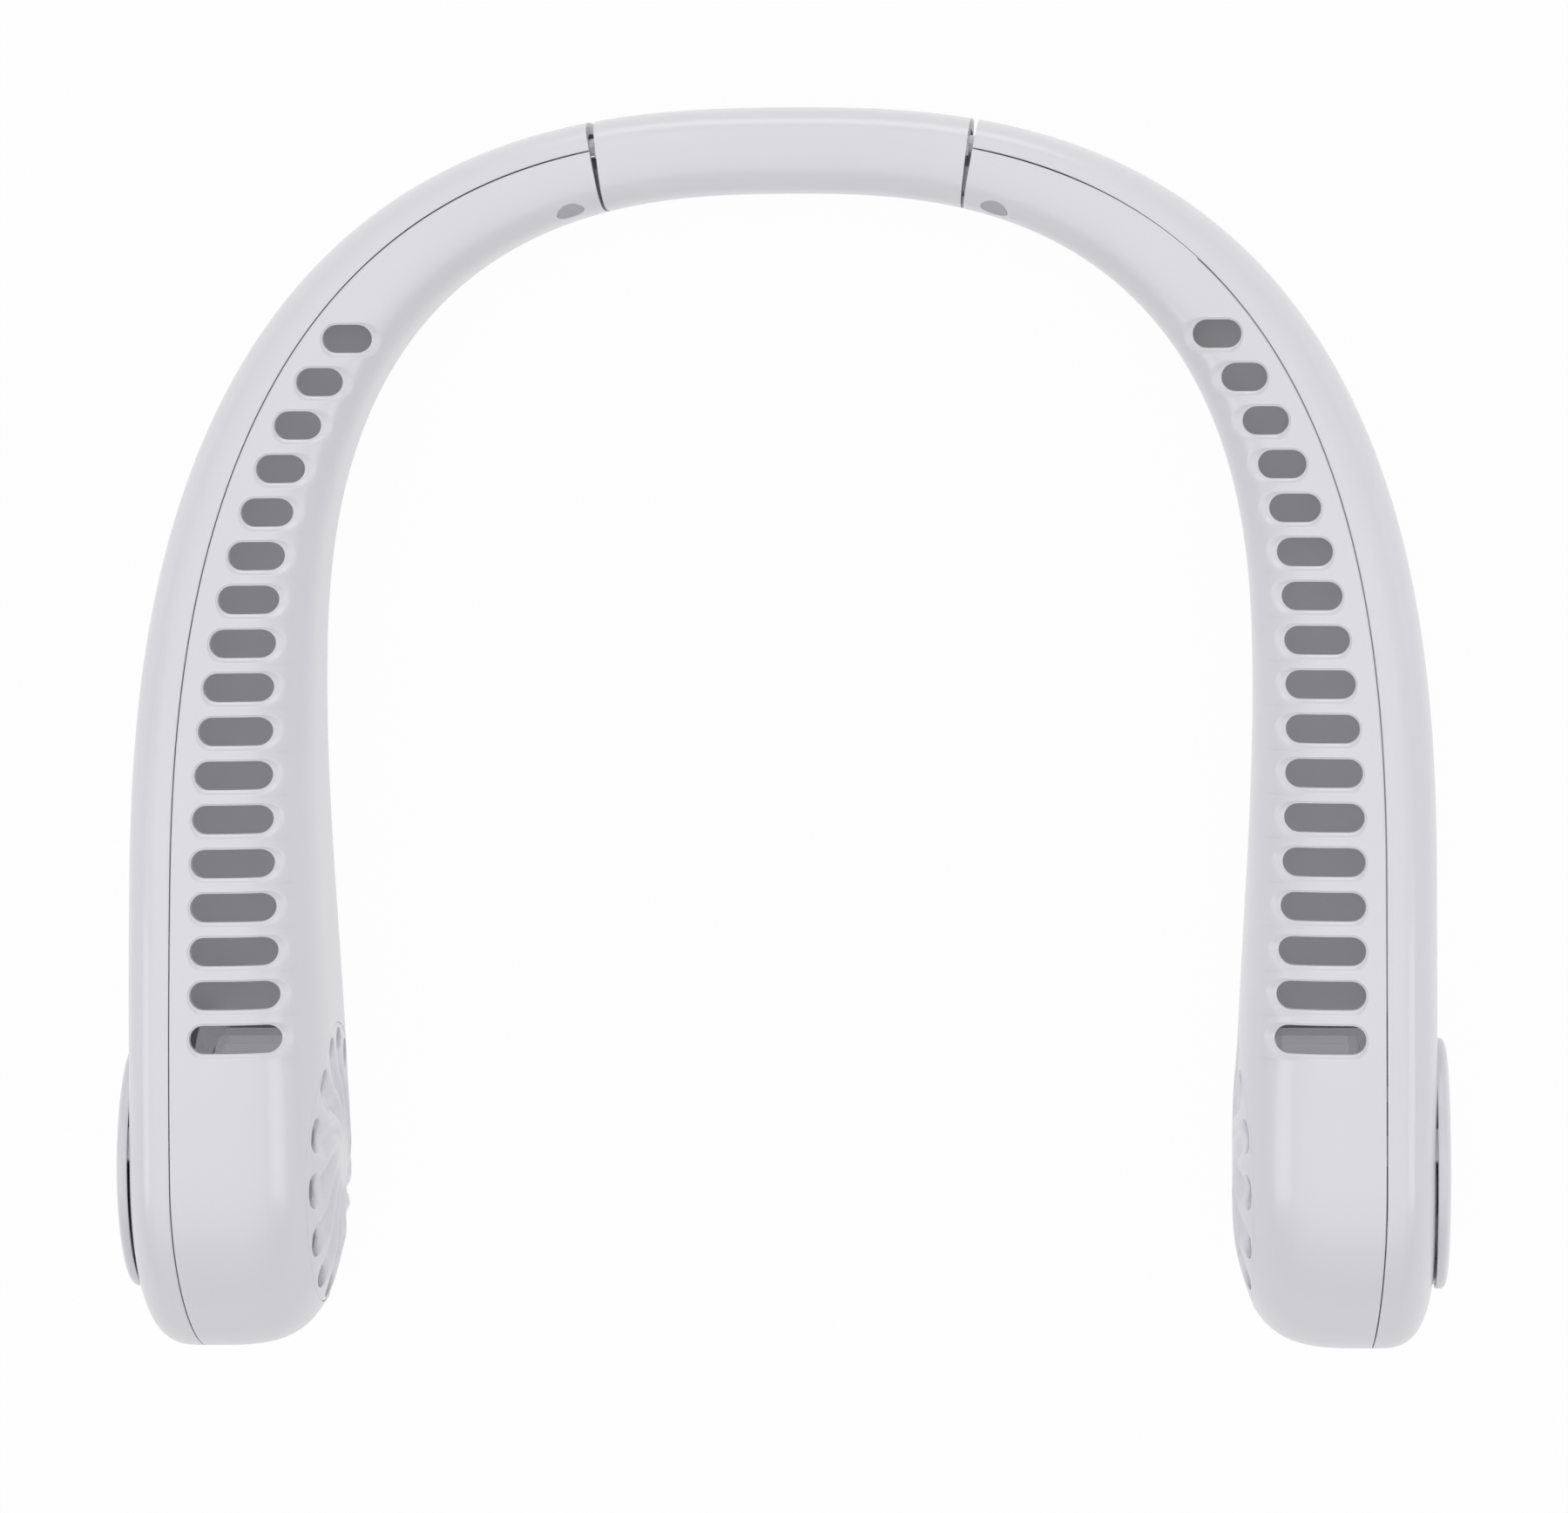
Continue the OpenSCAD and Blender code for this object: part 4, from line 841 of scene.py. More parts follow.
    def slot_cell(self, plan: MeshPlan, number: int, outside: np.ndarray, inside: np.ndarray,
                  points: tuple[np.ndarray, np.ndarray]) -> None:
        """Fills one cell of both skins round its slot and joins them through the wall.

        Args:
            plan: The plan to add to.
            number: Slot number.
            outside: Numbers of the cell's border on the outer skin.
            inside: The same on the inner skin.
            points: Places of those two borders.
        """
        slots = self.slots
        loop, out = slots.loop(number)
        reach = slots.blend(out, slots.scoop_reach, slots.lip_reach, slots.rim_reach)
        depth = slots.blend(out, slots.scoop_depth, slots.lip_depth, slots.rim_depth)

        def row(at: np.ndarray, fall: np.ndarray | float = 0.0, skin: float = 0.0) -> np.ndarray:
            """Places a fall below the skin at a depth."""
            return np.concatenate([at, (SURFACE.top(at, skin) - fall)[:, None]], -1)

        soft = slots.edge_round
        rows = [row(loop + out * (soft * by), depth + soft * down) for by, down in slots.edge_rows]
        for share in slots.scoop_shares:
            at = loop + out * (soft + (reach - soft) * share)[:, None]
            rows.append(row(at, depth * (1 - smooth(np.array(share)))))
        start = loop + out * reach[:, None]
        rows += [row(start + (points[0][:, :2] - start) * share) for share in slots.level_shares]
        outer_rows = plan.add(np.stack(rows))
        plan.ring(np.concatenate([outer_rows, outside[None]]))
        middle = (loop + points[1][:, :2]) / 2
        inner_rows = plan.add(np.stack([row(at, skin=FORM.wall) for at in (middle, loop)]))
        plan.ring(np.concatenate([inside[None], inner_rows, outer_rows[:1]]))

    def plan(self) -> MeshPlan:
        """The whole shell before its cuts.

        Returns:
            The plan of the shell, for the right arm.
        """
        plan = MeshPlan()
        skins = self.skin(0.0), self.skin(FORM.wall)
        numbers = [plan.add(skin) for skin in skins]
        low, high = self.slot_columns
        skip = np.zeros((skins[0].shape[0] - 1, skins[0].shape[1] - 1), bool)
        start = self.tip_steps + self.front_steps
        skip[start : start + self.slots.count * self.slots.row_steps, low:high] = True
        plan.grid(numbers[0], skip=skip)
        plan.grid(numbers[1], flip=True, skip=skip)
        for cell in range(self.slots.count):
            row = start + cell * self.slots.row_steps
            borders = [self.border(n, row) for n in numbers]
            places = tuple(skins[k].reshape(-1, 3)[borders[k] - numbers[k][0, 0]] for k in (0, 1))
            self.slot_cell(plan, self.slots.count - 1 - cell, *borders, places)
        for column in (0, -1):
            plan.grid(np.stack([n[:, column] for n in numbers], 1), flip=column == 0)
        plan.grid(np.stack([n[-1] for n in numbers]))
        return plan


@dataclass
class OuterShell:
    """The outside shell of an arm, one closed moulding."""

    tip_steps: int = 26
    straight_steps: int = 18
    bend_steps: int = 110
    quarter_columns: int = 22
    edge_clear: float = 1.5

    def columns(self, semi: float) -> np.ndarray:
        """Shares of the crest distance.

        Args:
            semi: Distance from the crest to the side.
        Returns:
            Shares from the top crest over the side to the lower crest.
        """
        edge = np.array([reach / semi for reach, _ in FORM.bevel])
        angles = np.linspace(QUARTER, 0, self.quarter_columns + 1)[2:]
        side = superellipse(angles, FORM.outside_power)[0]
        side = side[side > edge[-1] * self.edge_clear]
        return np.concatenate([edge, side, side[-2::-1], edge[::-1]])

    def skin(self, depth: float) -> np.ndarray:
        """Points of one skin, rows from the tip to the joint by columns.

        Args:
            depth: Depth below the surface.
        Returns:
            Places in the row frame.
        """
        power = FORM.outside_power
        angles = np.linspace(0, FORM.joint_angle, self.bend_steps + 1)
        bend, square = FORM.outline(angles)
        y = np.linspace(FORM.fan_y, FORM.wide_y, self.straight_steps, endpoint=False)
        side = np.stack([np.full_like(y, FORM.half_span), y], -1)
        beta = np.linspace(QUARTER, 0, self.tip_steps, endpoint=False)
        tip = np.tile([FORM.half_span, FORM.fan_y], (self.tip_steps, 1))
        outer = np.concatenate([tip, side, bend])
        outwards = np.tile([1.0, 0.0], (self.tip_steps + self.straight_steps, 1))
        across = np.concatenate([outwards, square])
        tip_share = np.concatenate([np.sin(beta), np.zeros(len(y) + len(angles))])[:, None]
        crest = FORM.crest_inset(outer[:, 1])[:, None] + FORM.crest_tip * tip_share**2
        shares = np.clip(self.columns(FORM.crest_front - depth), 0, 1)[None]
        middle = shares.shape[1] // 2
        angle = section_angle(tip_share, shares, power)
        reach = np.maximum((crest - depth) * np.cos(angle) ** (2 / power), FORM.parting_gap / 2)
        plan = outer[:, None] - across[:, None] * (crest - reach)[..., None]
        forward = (FORM.end_r - depth) * tip_share * FORM.tip_fit
        rise = (FORM.half_height(plan[..., 1]) - depth) * np.sin(angle) ** (2 / power)
        up = np.sqrt(np.maximum(0, rise**2 - forward**2))
        up[:, middle] = 0.0
        z = FORM.mid_z(plan[..., 1]) + signs(shares.shape[1], middle) * up
        if depth == 0:
            z = FORM.eased(z)
        return np.stack([plan[..., 0], plan[..., 1] - forward, z], -1)

    def plan(self) -> MeshPlan:
        """The whole shell before its cuts.

        Returns:
            The plan of the shell, for the right arm.
        """
        plan = MeshPlan()
        numbers = [plan.add(self.skin(0.0)), plan.add(self.skin(FORM.wall))]
        plan.grid(numbers[0], flip=True)
        plan.grid(numbers[1])
        for column in (0, -1):
            plan.grid(np.stack([n[:, column] for n in numbers], 1), flip=column == -1)
        plan.grid(np.stack([n[-1] for n in numbers]), flip=True)
        return plan


@dataclass
class Bridge:
    """The rear neck band, a tube open at both ends."""

    half: float = 29.1
    neck_half: float = 27.4223
    stations: int = 72
    quarter_columns: int = 18
    crease: float = 0.12
    sleeve_reach: float = 2.6
    sleeve_root: float = 1.2
    sleeve_depth: float = 2.6
    sleeve_t: float = 0.7
    sleeve_overlap: float = 0.3
    sleeve_step: float = 0.001
    sleeve_past_crest: float = 0.4
    sleeve_short: float = 0.05
    sleeve_columns: int = 15

    def skin(self, depth: float) -> np.ndarray:
        """Closed loops of one skin, station by station.

        Args:
            depth: Depth below the surface.
        Returns:
            Places in the row frame.
        """
        share = np.linspace(1, -1, self.stations + 1)
        xo, xn = self.half * share, self.neck_half * share
        outer = np.stack([xo, FORM.outer_y(xo)], -1)
        inner = np.stack([xn, FORM.neck_back_y(xn)], -1)
        gap = outer - inner
        width = np.linalg.norm(gap, axis=1, keepdims=True)
        across = gap / width
        crest = FORM.crest_inset(outer[:, 1])[:, None]
        quarter = np.linspace(QUARTER, 0, self.quarter_columns + 1)
        out, out_up = superellipse(quarter, FORM.outside_power)
        neck, neck_up = superellipse(quarter, FORM.inside_power)
        reach = np.concatenate([
            (crest - depth) * np.concatenate([out, out[-2::-1]])[None],
            -(width - crest - depth) * np.concatenate([neck[1:], neck[-2:0:-1]])[None],
        ], 1)
        up = np.concatenate([out_up, -out_up[-2::-1], -neck_up[1:], neck_up[-2:0:-1]])
        plan = outer[:, None] - across[:, None] * (crest - reach)[..., None]
        fall = self.crease * np.clip(reach, 0.0, None) * np.sign(up)[None]
        z = FORM.mid_z(plan[..., 1]) + (FORM.half_height(plan[..., 1]) - depth) * up[None] - fall
        if depth == 0:
            z = np.maximum(z, 0.0)
        return np.concatenate([plan, z[..., None]], -1)

    def plan(self) -> MeshPlan:
        """The closed wall of the bridge.

        Returns:
            The plan of the wall.
        """
        plan = MeshPlan()
        numbers = [plan.add(self.skin(0.0)), plan.add(self.skin(FORM.wall))]
        plan.ring(numbers[0])
        plan.ring(numbers[1], flip=True)
        for row in (0, -1):
            plan.ring(np.stack([n[row] for n in numbers]), flip=row == 0)
        return plan

    def sleeve(self) -> MeshPlan:
        """A lip inside the outer half of the bridge that reaches over the gap into an arm.

        Returns:
            The plan of the lip at the right end.
        """
        root, columns = FORM.wall - self.sleeve_overlap, self.sleeve_columns
        step = -self.sleeve_overlap, -self.sleeve_overlap - self.sleeve_step
        x = self.half + np.array([self.sleeve_reach, *step, -self.sleeve_root])
        top = np.array([self.sleeve_depth, self.sleeve_depth, root, root])
        under = np.full(4, self.sleeve_depth + self.sleeve_t)
        turn = np.linspace(QUARTER + self.sleeve_past_crest, self.sleeve_short, columns)
        loops = []
        for depth, turns in ((top, turn), (under, turn[::-1])):
            out, up = superellipse(turns, FORM.outside_power)
            edge = FORM.outer_y(x)
            crest = FORM.crest_inset(edge)
            y = (edge - crest)[:, None] + (crest - depth)[:, None] * out[None]
            z = FORM.mid_z(y) + (FORM.half_height(y) - depth[:, None]) * up[None]
            loops.append(np.stack([np.broadcast_to(x[:, None], y.shape), y, z], -1))
        plan = MeshPlan()
        numbers = plan.add(np.concatenate(loops, 1))
        plan.ring(numbers)
        for row in (0, -1):
            ends = numbers[row][:columns], numbers[row][: columns - 1 : -1]
            plan.grid(np.stack(ends), flip=row == 0)
        return plan

    def build(self) -> bpy.types.Object:
        """Makes the bridge with a lip at each end.

        Returns:
            The piece.
        """
        made = self.plan().object("rear_bridge")
        for side in Side:
            made = combined(made, self.sleeve().object("sleeve", side), Join.ADD)
        return made


class NodeTool:
    """Small helper that adds and links nodes of one tree."""

    def __init__(self, tree: bpy.types.NodeTree) -> None:
        """Keeps the tree and empties it."""
        self.tree = tree
        tree.nodes.clear()

    def node(self, kind: str, **settings: object) -> bpy.types.Node:
        """Adds a node and sets its properties.

        Args:
            kind: The node's type.
            settings: Properties of the node by name.
        Returns:
            The new node.
        """
        made = self.tree.nodes.new(kind)
        for key, value in settings.items():
            setattr(made, key, value)
        return made

    def link(self, start: bpy.types.NodeSocket, end: bpy.types.NodeSocket) -> None:
        """Joins two sockets."""
        self.tree.links.new(start, end)


@dataclass(frozen=True)
class RingPattern:
    """A piece repeated round the fan's axis by geometry nodes."""

    count: int
    start: float
    merge: float = 2e-6

    def tree(self, name: str) -> bpy.types.NodeTree:
        """Builds the node tree with its named inputs.

        Args:
            name: Name of the tree.
        Returns:
            The tree.
        """
        tree = bpy.data.node_groups.new(name, "GeometryNodeTree")
        face = tree.interface
        for label, kind in (("Geometry", "Geometry"), ("Count", "Int"), ("Start", "Float"),
                            ("Centre", "Vector"), ("Material", "Material")):
            face.new_socket(label, in_out="INPUT", socket_type=f"NodeSocket{kind}")
        face.new_socket("Geometry", in_out="OUTPUT", socket_type="NodeSocketGeometry")
        tool = NodeTool(tree)
        source, result = tool.node("NodeGroupInput"), tool.node("NodeGroupOutput")
        points = tool.node("GeometryNodePoints")
        index = tool.node("GeometryNodeInputIndex")
        step = tool.node("ShaderNodeMath", operation="DIVIDE")
        step.inputs[0].default_value = 2 * math.pi
        turn = tool.node("ShaderNodeMath", operation="MULTIPLY_ADD")
        about = tool.node("ShaderNodeCombineXYZ")
        place = tool.node("GeometryNodeInstanceOnPoints")
        real = tool.node("GeometryNodeRealizeInstances")
        merge = tool.node("GeometryNodeMergeByDistance")
        merge.inputs["Distance"].default_value = self.merge
        lay = tool.node("GeometryNodeTransform")
        lay.inputs["Rotation"].default_value = (0.0, QUARTER, 0.0)
        dress = tool.node("GeometryNodeSetMaterial")
        tool.link(source.outputs["Count"], points.inputs["Count"])
        tool.link(source.outputs["Count"], step.inputs[1])
        tool.link(index.outputs[0], turn.inputs[0])
        tool.link(step.outputs[0], turn.inputs[1])
        tool.link(source.outputs["Start"], turn.inputs[2])
        tool.link(turn.outputs[0], about.inputs["Z"])
        tool.link(points.outputs[0], place.inputs["Points"])
        tool.link(source.outputs["Geometry"], place.inputs["Instance"])
        tool.link(about.outputs[0], place.inputs["Rotation"])
        tool.link(place.outputs[0], real.inputs[0])
        tool.link(real.outputs[0], merge.inputs[0])
        tool.link(merge.outputs[0], lay.inputs["Geometry"])
        tool.link(source.outputs["Centre"], lay.inputs["Translation"])
        tool.link(lay.outputs[0], dress.inputs["Geometry"])
        tool.link(source.outputs["Material"], dress.inputs["Material"])
        tool.link(dress.outputs[0], result.inputs[0])
        return tree

    def build(
        self, unit: MeshPlan, name: str, side: Side, material: bpy.types.Material
    ) -> bpy.types.Object:
        """Repeats a unit drawn in the fan's frame and lays it on one arm.

        Args:
            unit: The unit, in the fan's frame.
            name: Name of the piece.
            side: The arm.
            material: Finish of the piece.
        Returns:
            The piece as a plain mesh in the row frame.
        """
        mesh = bpy.data.meshes.new(name)
        mesh.from_pydata((np.concatenate(unit.blocks) * MM).tolist(), [], unit.faces)
        source = linked(name, mesh)
        step = source.modifiers.new("ring", "NODES")
        step.node_group = self.tree(f"{name}_ring")
        centre = (AXIS.face_x * MM, AXIS.fan_y * MM, AXIS.mid_z * MM)
        values = {"Count": self.count, "Start": self.start, "Centre": centre, "Material": material}
        for item in step.node_group.interface.items_tree:
            if item.in_out == "INPUT" and item.name in values:
                step[item.identifier] = values[item.name]
        made = baked(source)
        if side is Side.LEFT:
            turned = made.data
            flat = np.zeros(len(turned.vertices) * 3)
            turned.vertices.foreach_get("co", flat)
            flat = side.placed(flat.reshape(-1, 3)).ravel()
            turned.vertices.foreach_set("co", flat)
            bpy.data.objects.remove(made)
            made = finish_mesh(turned, name)
        return made


@dataclass
class IntakeGrille:
    """The swirl grille on the neck side of a fan end: a soft whirl with openings round it."""

    side: Side
    petals: int = 14
    thick: float = 1.4
    swirl_start_r: float = 5.0
    swirl_end_r: float = 14.5
    swirl: float = math.radians(32)
    opening_inner_r: float = 16.9
    opening_outer_r: float = 21.0
    opening_power: float = 2.4
    opening_fullness: float = 1.6
    vane_w: float = 3.2
    whirl: float = 0.4
    whirl_fall: tuple[float, float] = (9.0, 11.0)
    dimple: float = 0.25
    dimple_r: float = 6.0
    ridge: float = 1.05
    ridge_rise: tuple[float, float] = (3.5, 8.0)
    ridge_fall: tuple[float, float] = (15.0, 6.0)
    side_steps: int = 20
    end_steps: int = 4
    hub_rows: tuple[float, ...] = (0.0, 1.0, 2.0, 3.0, 4.0)
    rim_rows: tuple[tuple[float, float], ...] = (
        (21.1, 0.0), (21.3, 0.0), (21.5, 0.0), (21.6, 0.02), (21.66, 0.08),
    )
    edge_rows: tuple[tuple[float, float], ...] = (
        (0.0, 0.9), (0.0, 0.45), (0.02, 0.2), (0.06, 0.05), (0.12, 0.0), (0.2, 0.0),
        (0.3, 0.0), (0.42, 0.0), (0.55, 0.0), (0.7, 0.0), (0.85, 0.0), (1.0, 0.0),
    )
    under_shares: tuple[float, ...] = (1.0, 0.5, 0.0)

    def turn(self, radius: np.ndarray) -> np.ndarray:
        """How far the openings are turned at a radius."""
        share = (radius - self.swirl_start_r) / (self.swirl_end_r - self.swirl_start_r)
        return self.swirl * np.clip(share, 0.0, 1.0)

    def height(self, radius: np.ndarray, off: np.ndarray) -> np.ndarray:
        """How far the face stands proud of the arm.

        Args:
            radius: Distance from the axis.
            off: Angle from the middle of the opening.
        Returns:
            Height over the arm's neck face.
        """
        rise, fall, away = (
            smooth((radius - start) / length)
            for start, length in (self.ridge_rise, self.ridge_fall, self.whirl_fall)
        )
        dome = self.whirl * (1 - away) * (1 - self.dimple * smooth(1 - radius / self.dimple_r))
        fold = self.ridge * rise * (1 - fall)
        return dome - fold * (1 + np.cos(off * self.petals)) / 2

    def face(self, radius: np.ndarray, off: np.ndarray, below: np.ndarray | float) -> np.ndarray:
        """Points of the sector at a depth below its face, in the fan's frame."""
        axial = AXIS.neck_face(radius) - self.height(radius, off) + below
        return AXIS.polar(radius, self.turn(radius) + off, axial)

    def underside(self, radius: np.ndarray, off: np.ndarray) -> np.ndarray:
        """Points of the sector's back, in the fan's frame."""
        return AXIS.polar(radius, self.turn(radius) + off, AXIS.neck_face(radius) + self.thick)

    def opening(self) -> tuple[np.ndarray, np.ndarray]:
        """The outline of one opening.

        Returns:
            Radius and angle of its points.
        """
        middle = (self.opening_inner_r + self.opening_outer_r) / 2
        reach = (self.opening_outer_r - self.opening_inner_r) / 2
        along = np.sin(QUARTER * np.linspace(-1, 1, self.side_steps + 1))
        radius = middle + reach * along
        fade = np.clip(1 - np.abs(along) ** self.opening_power, 0, 1)
        shape = fade ** (1 / self.opening_fullness)
        half_w = (math.pi / self.petals - np.arcsin(self.vane_w / 2 / radius)) * shape
        return (
            np.concatenate([radius, radius[-2:0:-1]]),
            np.concatenate([-half_w, half_w[-2:0:-1]]),
        )

    def border(self) -> tuple[np.ndarray, np.ndarray]:
        """The outline of the sector round one opening.

        Returns:
            Radius and angle of as many points as the opening has.
        """
        half, ends = math.pi / self.petals, self.end_steps
        inner_r, outer_r = self.hub_rows[-1], self.rim_rows[0][0]
        side_r = np.linspace(inner_r, outer_r, self.side_steps - 2 * ends + 1)
        edge = np.linspace(0, -half, ends + 1)
        radius = np.concatenate([np.full(ends, inner_r), side_r, np.full(ends, outer_r)])
        off = np.concatenate([edge[:-1], np.full(len(side_r), -half), edge[-2::-1]])
        return (
            np.concatenate([radius, radius[-2:0:-1]]),
            np.concatenate([off, -off[-2:0:-1]]),
        )

    def sector(self) -> MeshPlan:
        """One opening with its halves of the two vanes beside it.

        Returns:
            The plan of the sector, in the fan's frame.
        """
        plan = MeshPlan()
        (loop_r, loop_off), (border_r, border_off) = self.opening(), self.border()

        def at(share: float) -> tuple[np.ndarray, np.ndarray]:
            """Radius and angle at a share of the way from the opening to the border."""
            return loop_r + (border_r - loop_r) * share, loop_off + (border_off - loop_off) * share

        top = plan.add(np.stack([self.face(*at(share), fall) for share, fall in self.edge_rows]))
        low = plan.add(np.stack([self.underside(*at(share)) for share in self.under_shares]))
        plan.ring(np.concatenate([top[::-1], low[::-1]]))
        plan.ring(low)
        half = math.pi / self.petals
        across = np.linspace(-half, half, 2 * self.end_steps + 1)[None]
        hub = [(radius, 0.0) for radius in self.hub_rows]
        for rows in (np.array(hub), np.array(self.rim_rows)):
            radius, off, fall = np.broadcast_arrays(rows[:, :1], across, rows[:, 1:])
            plan.grid(plan.add(self.face(radius, off, fall)))
            plan.grid(plan.add(self.underside(radius, off)), flip=True)
        rim_r, rim_fall = self.rim_rows[-1]
        radius, off = np.broadcast_arrays(np.full((2, 1), rim_r), across)
        plan.grid(plan.add(self.face(radius, off, np.array([[rim_fall], [self.thick]]))))
        return plan

    def seated(self, made: bpy.types.Object) -> None:
        """Moves the face behind the axis from the round end's surface onto the arm's own.

        Args:
            made: The grille on its arm, in metres.
        """
        flat = np.zeros(len(made.data.vertices) * 3)
        made.data.vertices.foreach_get("co", flat)
        points = flat.reshape(-1, 3) / MM
        back, up = points[:, 1] - AXIS.fan_y, points[:, 2] - AXIS.mid_z
        round_face = AXIS.neck_face(np.hypot(back, up))
        neck = FORM.neck_x(points[:, 1])
        semi = AXIS.face_x + AXIS.crest_z - neck
        rise = np.abs(points[:, 2] - FORM.mid_z(points[:, 1]))
        share = np.clip(rise / FORM.half_height(points[:, 1]), 0, 1)
        own = neck - AXIS.face_x + semi * (1 - arch(share, FORM.inside_power))
        shift = np.where(back > 0, own - round_face, 0.0)
        points[:, 0] += self.side.value * shift
        made.data.vertices.foreach_set("co", (points * MM).ravel())
        made.data.update()

    def build(self, material: bpy.types.Material) -> bpy.types.Object:
        """Makes the grille.

        Args:
            material: Finish of the piece.
        Returns:
            The piece.
        """
        ring = RingPattern(self.petals, math.pi / self.petals)
        name = f"swirl_grille_{self.side.label}"
        made = ring.build(self.sector(), name, self.side, material)
        self.seated(made)
        return made


@dataclass
class CoverPlate:
    """The round plate that stands off the outside of a fan end."""

    side: Side
    radius: float = 19.2945
    thick: float = 1.4
    rim_z: float = 30.8
    top_z: float = 32.85
    under_z: float = 31.45
    power: float = 5.0
    rib_w: float = 5.2
    rib_inner_r: float = 14.9945
    rib_outer_r: float = 18.4945
    rib_start: float = math.radians(74)
    ribs: int = 4
    peg_ring_r: float = 8.2
    peg_r: float = 1.3
    peg_foot_z: float = 28.3
    button_r: float = 4.8
    light_r: float = 0.95
    light_ring_r: float = 7.2
    edge_round: float = 0.22
    edge_share: float = 0.3
    edge_clear: float = 1.5
    rim_round: tuple[tuple[float, float], ...] = ((0.05, 0.12), (0.3, 0.16), (0.7, 0.05))
    rib_corner: float = 0.35
    rib_sink: float = 0.15
    peg_bevel: float = 0.25
    root: float = 0.3
    dome_rows: int = 30
    disc_steps: int = 128
    peg_steps: int = 32

    def disc(self, cut: bool) -> MeshPlan:
        """The domed disc with its rim.

        Args:
            cut: Whether it has a hole for the button.
        Returns:
            The plan of the disc, in the row frame.
        """
        angles = np.linspace(0, QUARTER, self.dome_rows)
        out, up = superellipse(QUARTER - angles, self.power)
        dome = np.stack([self.radius * out, self.rim_z + (self.top_z - self.rim_z) * up], -1)
        rim = [(self.radius - inwards, self.rim_z - down) for inwards, down in self.rim_round]
        inner, soft = self.button_r if cut else 0.0, self.edge_round
        mouth = [
            (inner, self.under_z),
            (inner, self.top_z - soft),
            (inner + soft * self.edge_share, self.top_z - soft * self.edge_share),
            (inner + soft, self.top_z),
        ]
        profile = [
            *(mouth if cut else []),
            *map(tuple, dome[dome[:, 0] > inner + soft * self.edge_clear] if cut else dome),
            *rim,
            (self.radius - self.thick, self.under_z),
            (inner, self.under_z),
        ]
        return revolved(np.array(profile), self.disc_steps)

    def rib_plan(self) -> MeshPlan:
        """One rib under the rim.

        Returns:
            The plan of the rib, in the fan's frame.
        """
        width, soft = self.rib_w / 2, self.rib_corner
        low, high = self.rib_inner_r, self.rib_outer_r
        outline = np.array([
            (-width, low + soft), (-width + soft, low),
            (width - soft, low), (width, low + soft),
            (width, high - soft), (width - soft, high),
            (-width + soft, high), (-width, high - soft),
        ])
        share = np.clip(outline[:, 1] / FORM.end_r, 0, 1)
        foot = AXIS.crest_z + FORM.crest_front * arch(share, FORM.outside_power) - self.rib_sink
        head = np.full(len(outline), self.under_z + self.root)
        middle = outline.mean(0)[None].repeat(len(outline), 0)
        plan = MeshPlan()
        plan.ring(plan.add(np.stack([
            np.concatenate([at, z[:, None]], -1)
            for at, z in ((middle, foot), (outline, foot), (outline, head), (middle, head))
        ])))
        return plan

    def peg_plan(self) -> MeshPlan:
        """One peg that plugs into the shell.

        Returns:
            The plan of the peg, in the fan's frame.
        """
        foot, head, soft = self.peg_foot_z, self.under_z + self.root, self.peg_bevel
        profile = [(0.0, foot), (self.peg_r - soft, foot), (self.peg_r, foot + soft),
                   (self.peg_r, head), (0.0, head)]
        return axial_rod(profile, self.peg_ring_r, self.peg_steps)

    def build(self, material: bpy.types.Material) -> bpy.types.Object:
        """Makes the plate with its ribs and pegs as one moulding.

        Args:
            material: Finish of the piece.
        Returns:
            The piece.
        """
        cut = self.side is Side.RIGHT
        plate = self.disc(cut).object(f"cover_plate_dome_{self.side.label}", self.side)
        for name, start, unit in (
            ("ribs", self.rib_start, self.rib_plan()),
            ("pegs", self.rib_start + math.pi / self.ribs, self.peg_plan()),
        ):
            ring = RingPattern(self.ribs, start).build(unit, name, self.side, material)
            plate = combined(plate, ring, Join.ADD)
        if cut:
            ends = [
                AXIS.world(AXIS.polar(*map(np.array, (self.light_ring_r, self.rib_start, z))))
                for z in (self.under_z - 1, self.top_z + 1)
            ]
            hole = round_rod(*ends, self.light_r).object("light_hole")
            plate = combined(plate, hole, Join.CUT)
        return plate


class Tone(Enum):
    """Colours of the finishes, as linear light."""

    WHITE = (0.73, 0.722, 0.745)
    WHITE_SHADE = (0.712, 0.708, 0.732)
    DUCT = (0.70, 0.70, 0.72)
    DUCT_SHADE = (0.66, 0.66, 0.68)
    RUBBER = (0.46, 0.475, 0.485)
    RUBBER_SHADE = (0.40, 0.415, 0.425)
    ROTOR = (0.66, 0.66, 0.68)
    ROTOR_SHADE = (0.62, 0.62, 0.64)
    DARK = (0.045, 0.047, 0.052)
    DARK_SHADE = (0.03, 0.031, 0.035)
    MILK = (0.78, 0.79, 0.78)
    MILK_SHADE = (0.70, 0.71, 0.70)
    JACKET = (0.5, 0.5, 0.52)
    JACKET_SHADE = (0.06, 0.06, 0.07)
    WRAP = (0.19, 0.25, 0.33)
    WRAP_SHADE = (0.14, 0.19, 0.26)
    BOARD = (0.015, 0.11, 0.05)
    BOARD_SHADE = (0.03, 0.17, 0.08)
    STEEL = (0.56, 0.56, 0.57)
    STEEL_SHADE = (0.42, 0.42, 0.43)
    MAGNET = (0.10, 0.10, 0.11)
    MAGNET_SHADE = (0.06, 0.06, 0.065)
    COPPER = (0.72, 0.31, 0.13)
    COPPER_SHADE = (0.38, 0.13, 0.05)


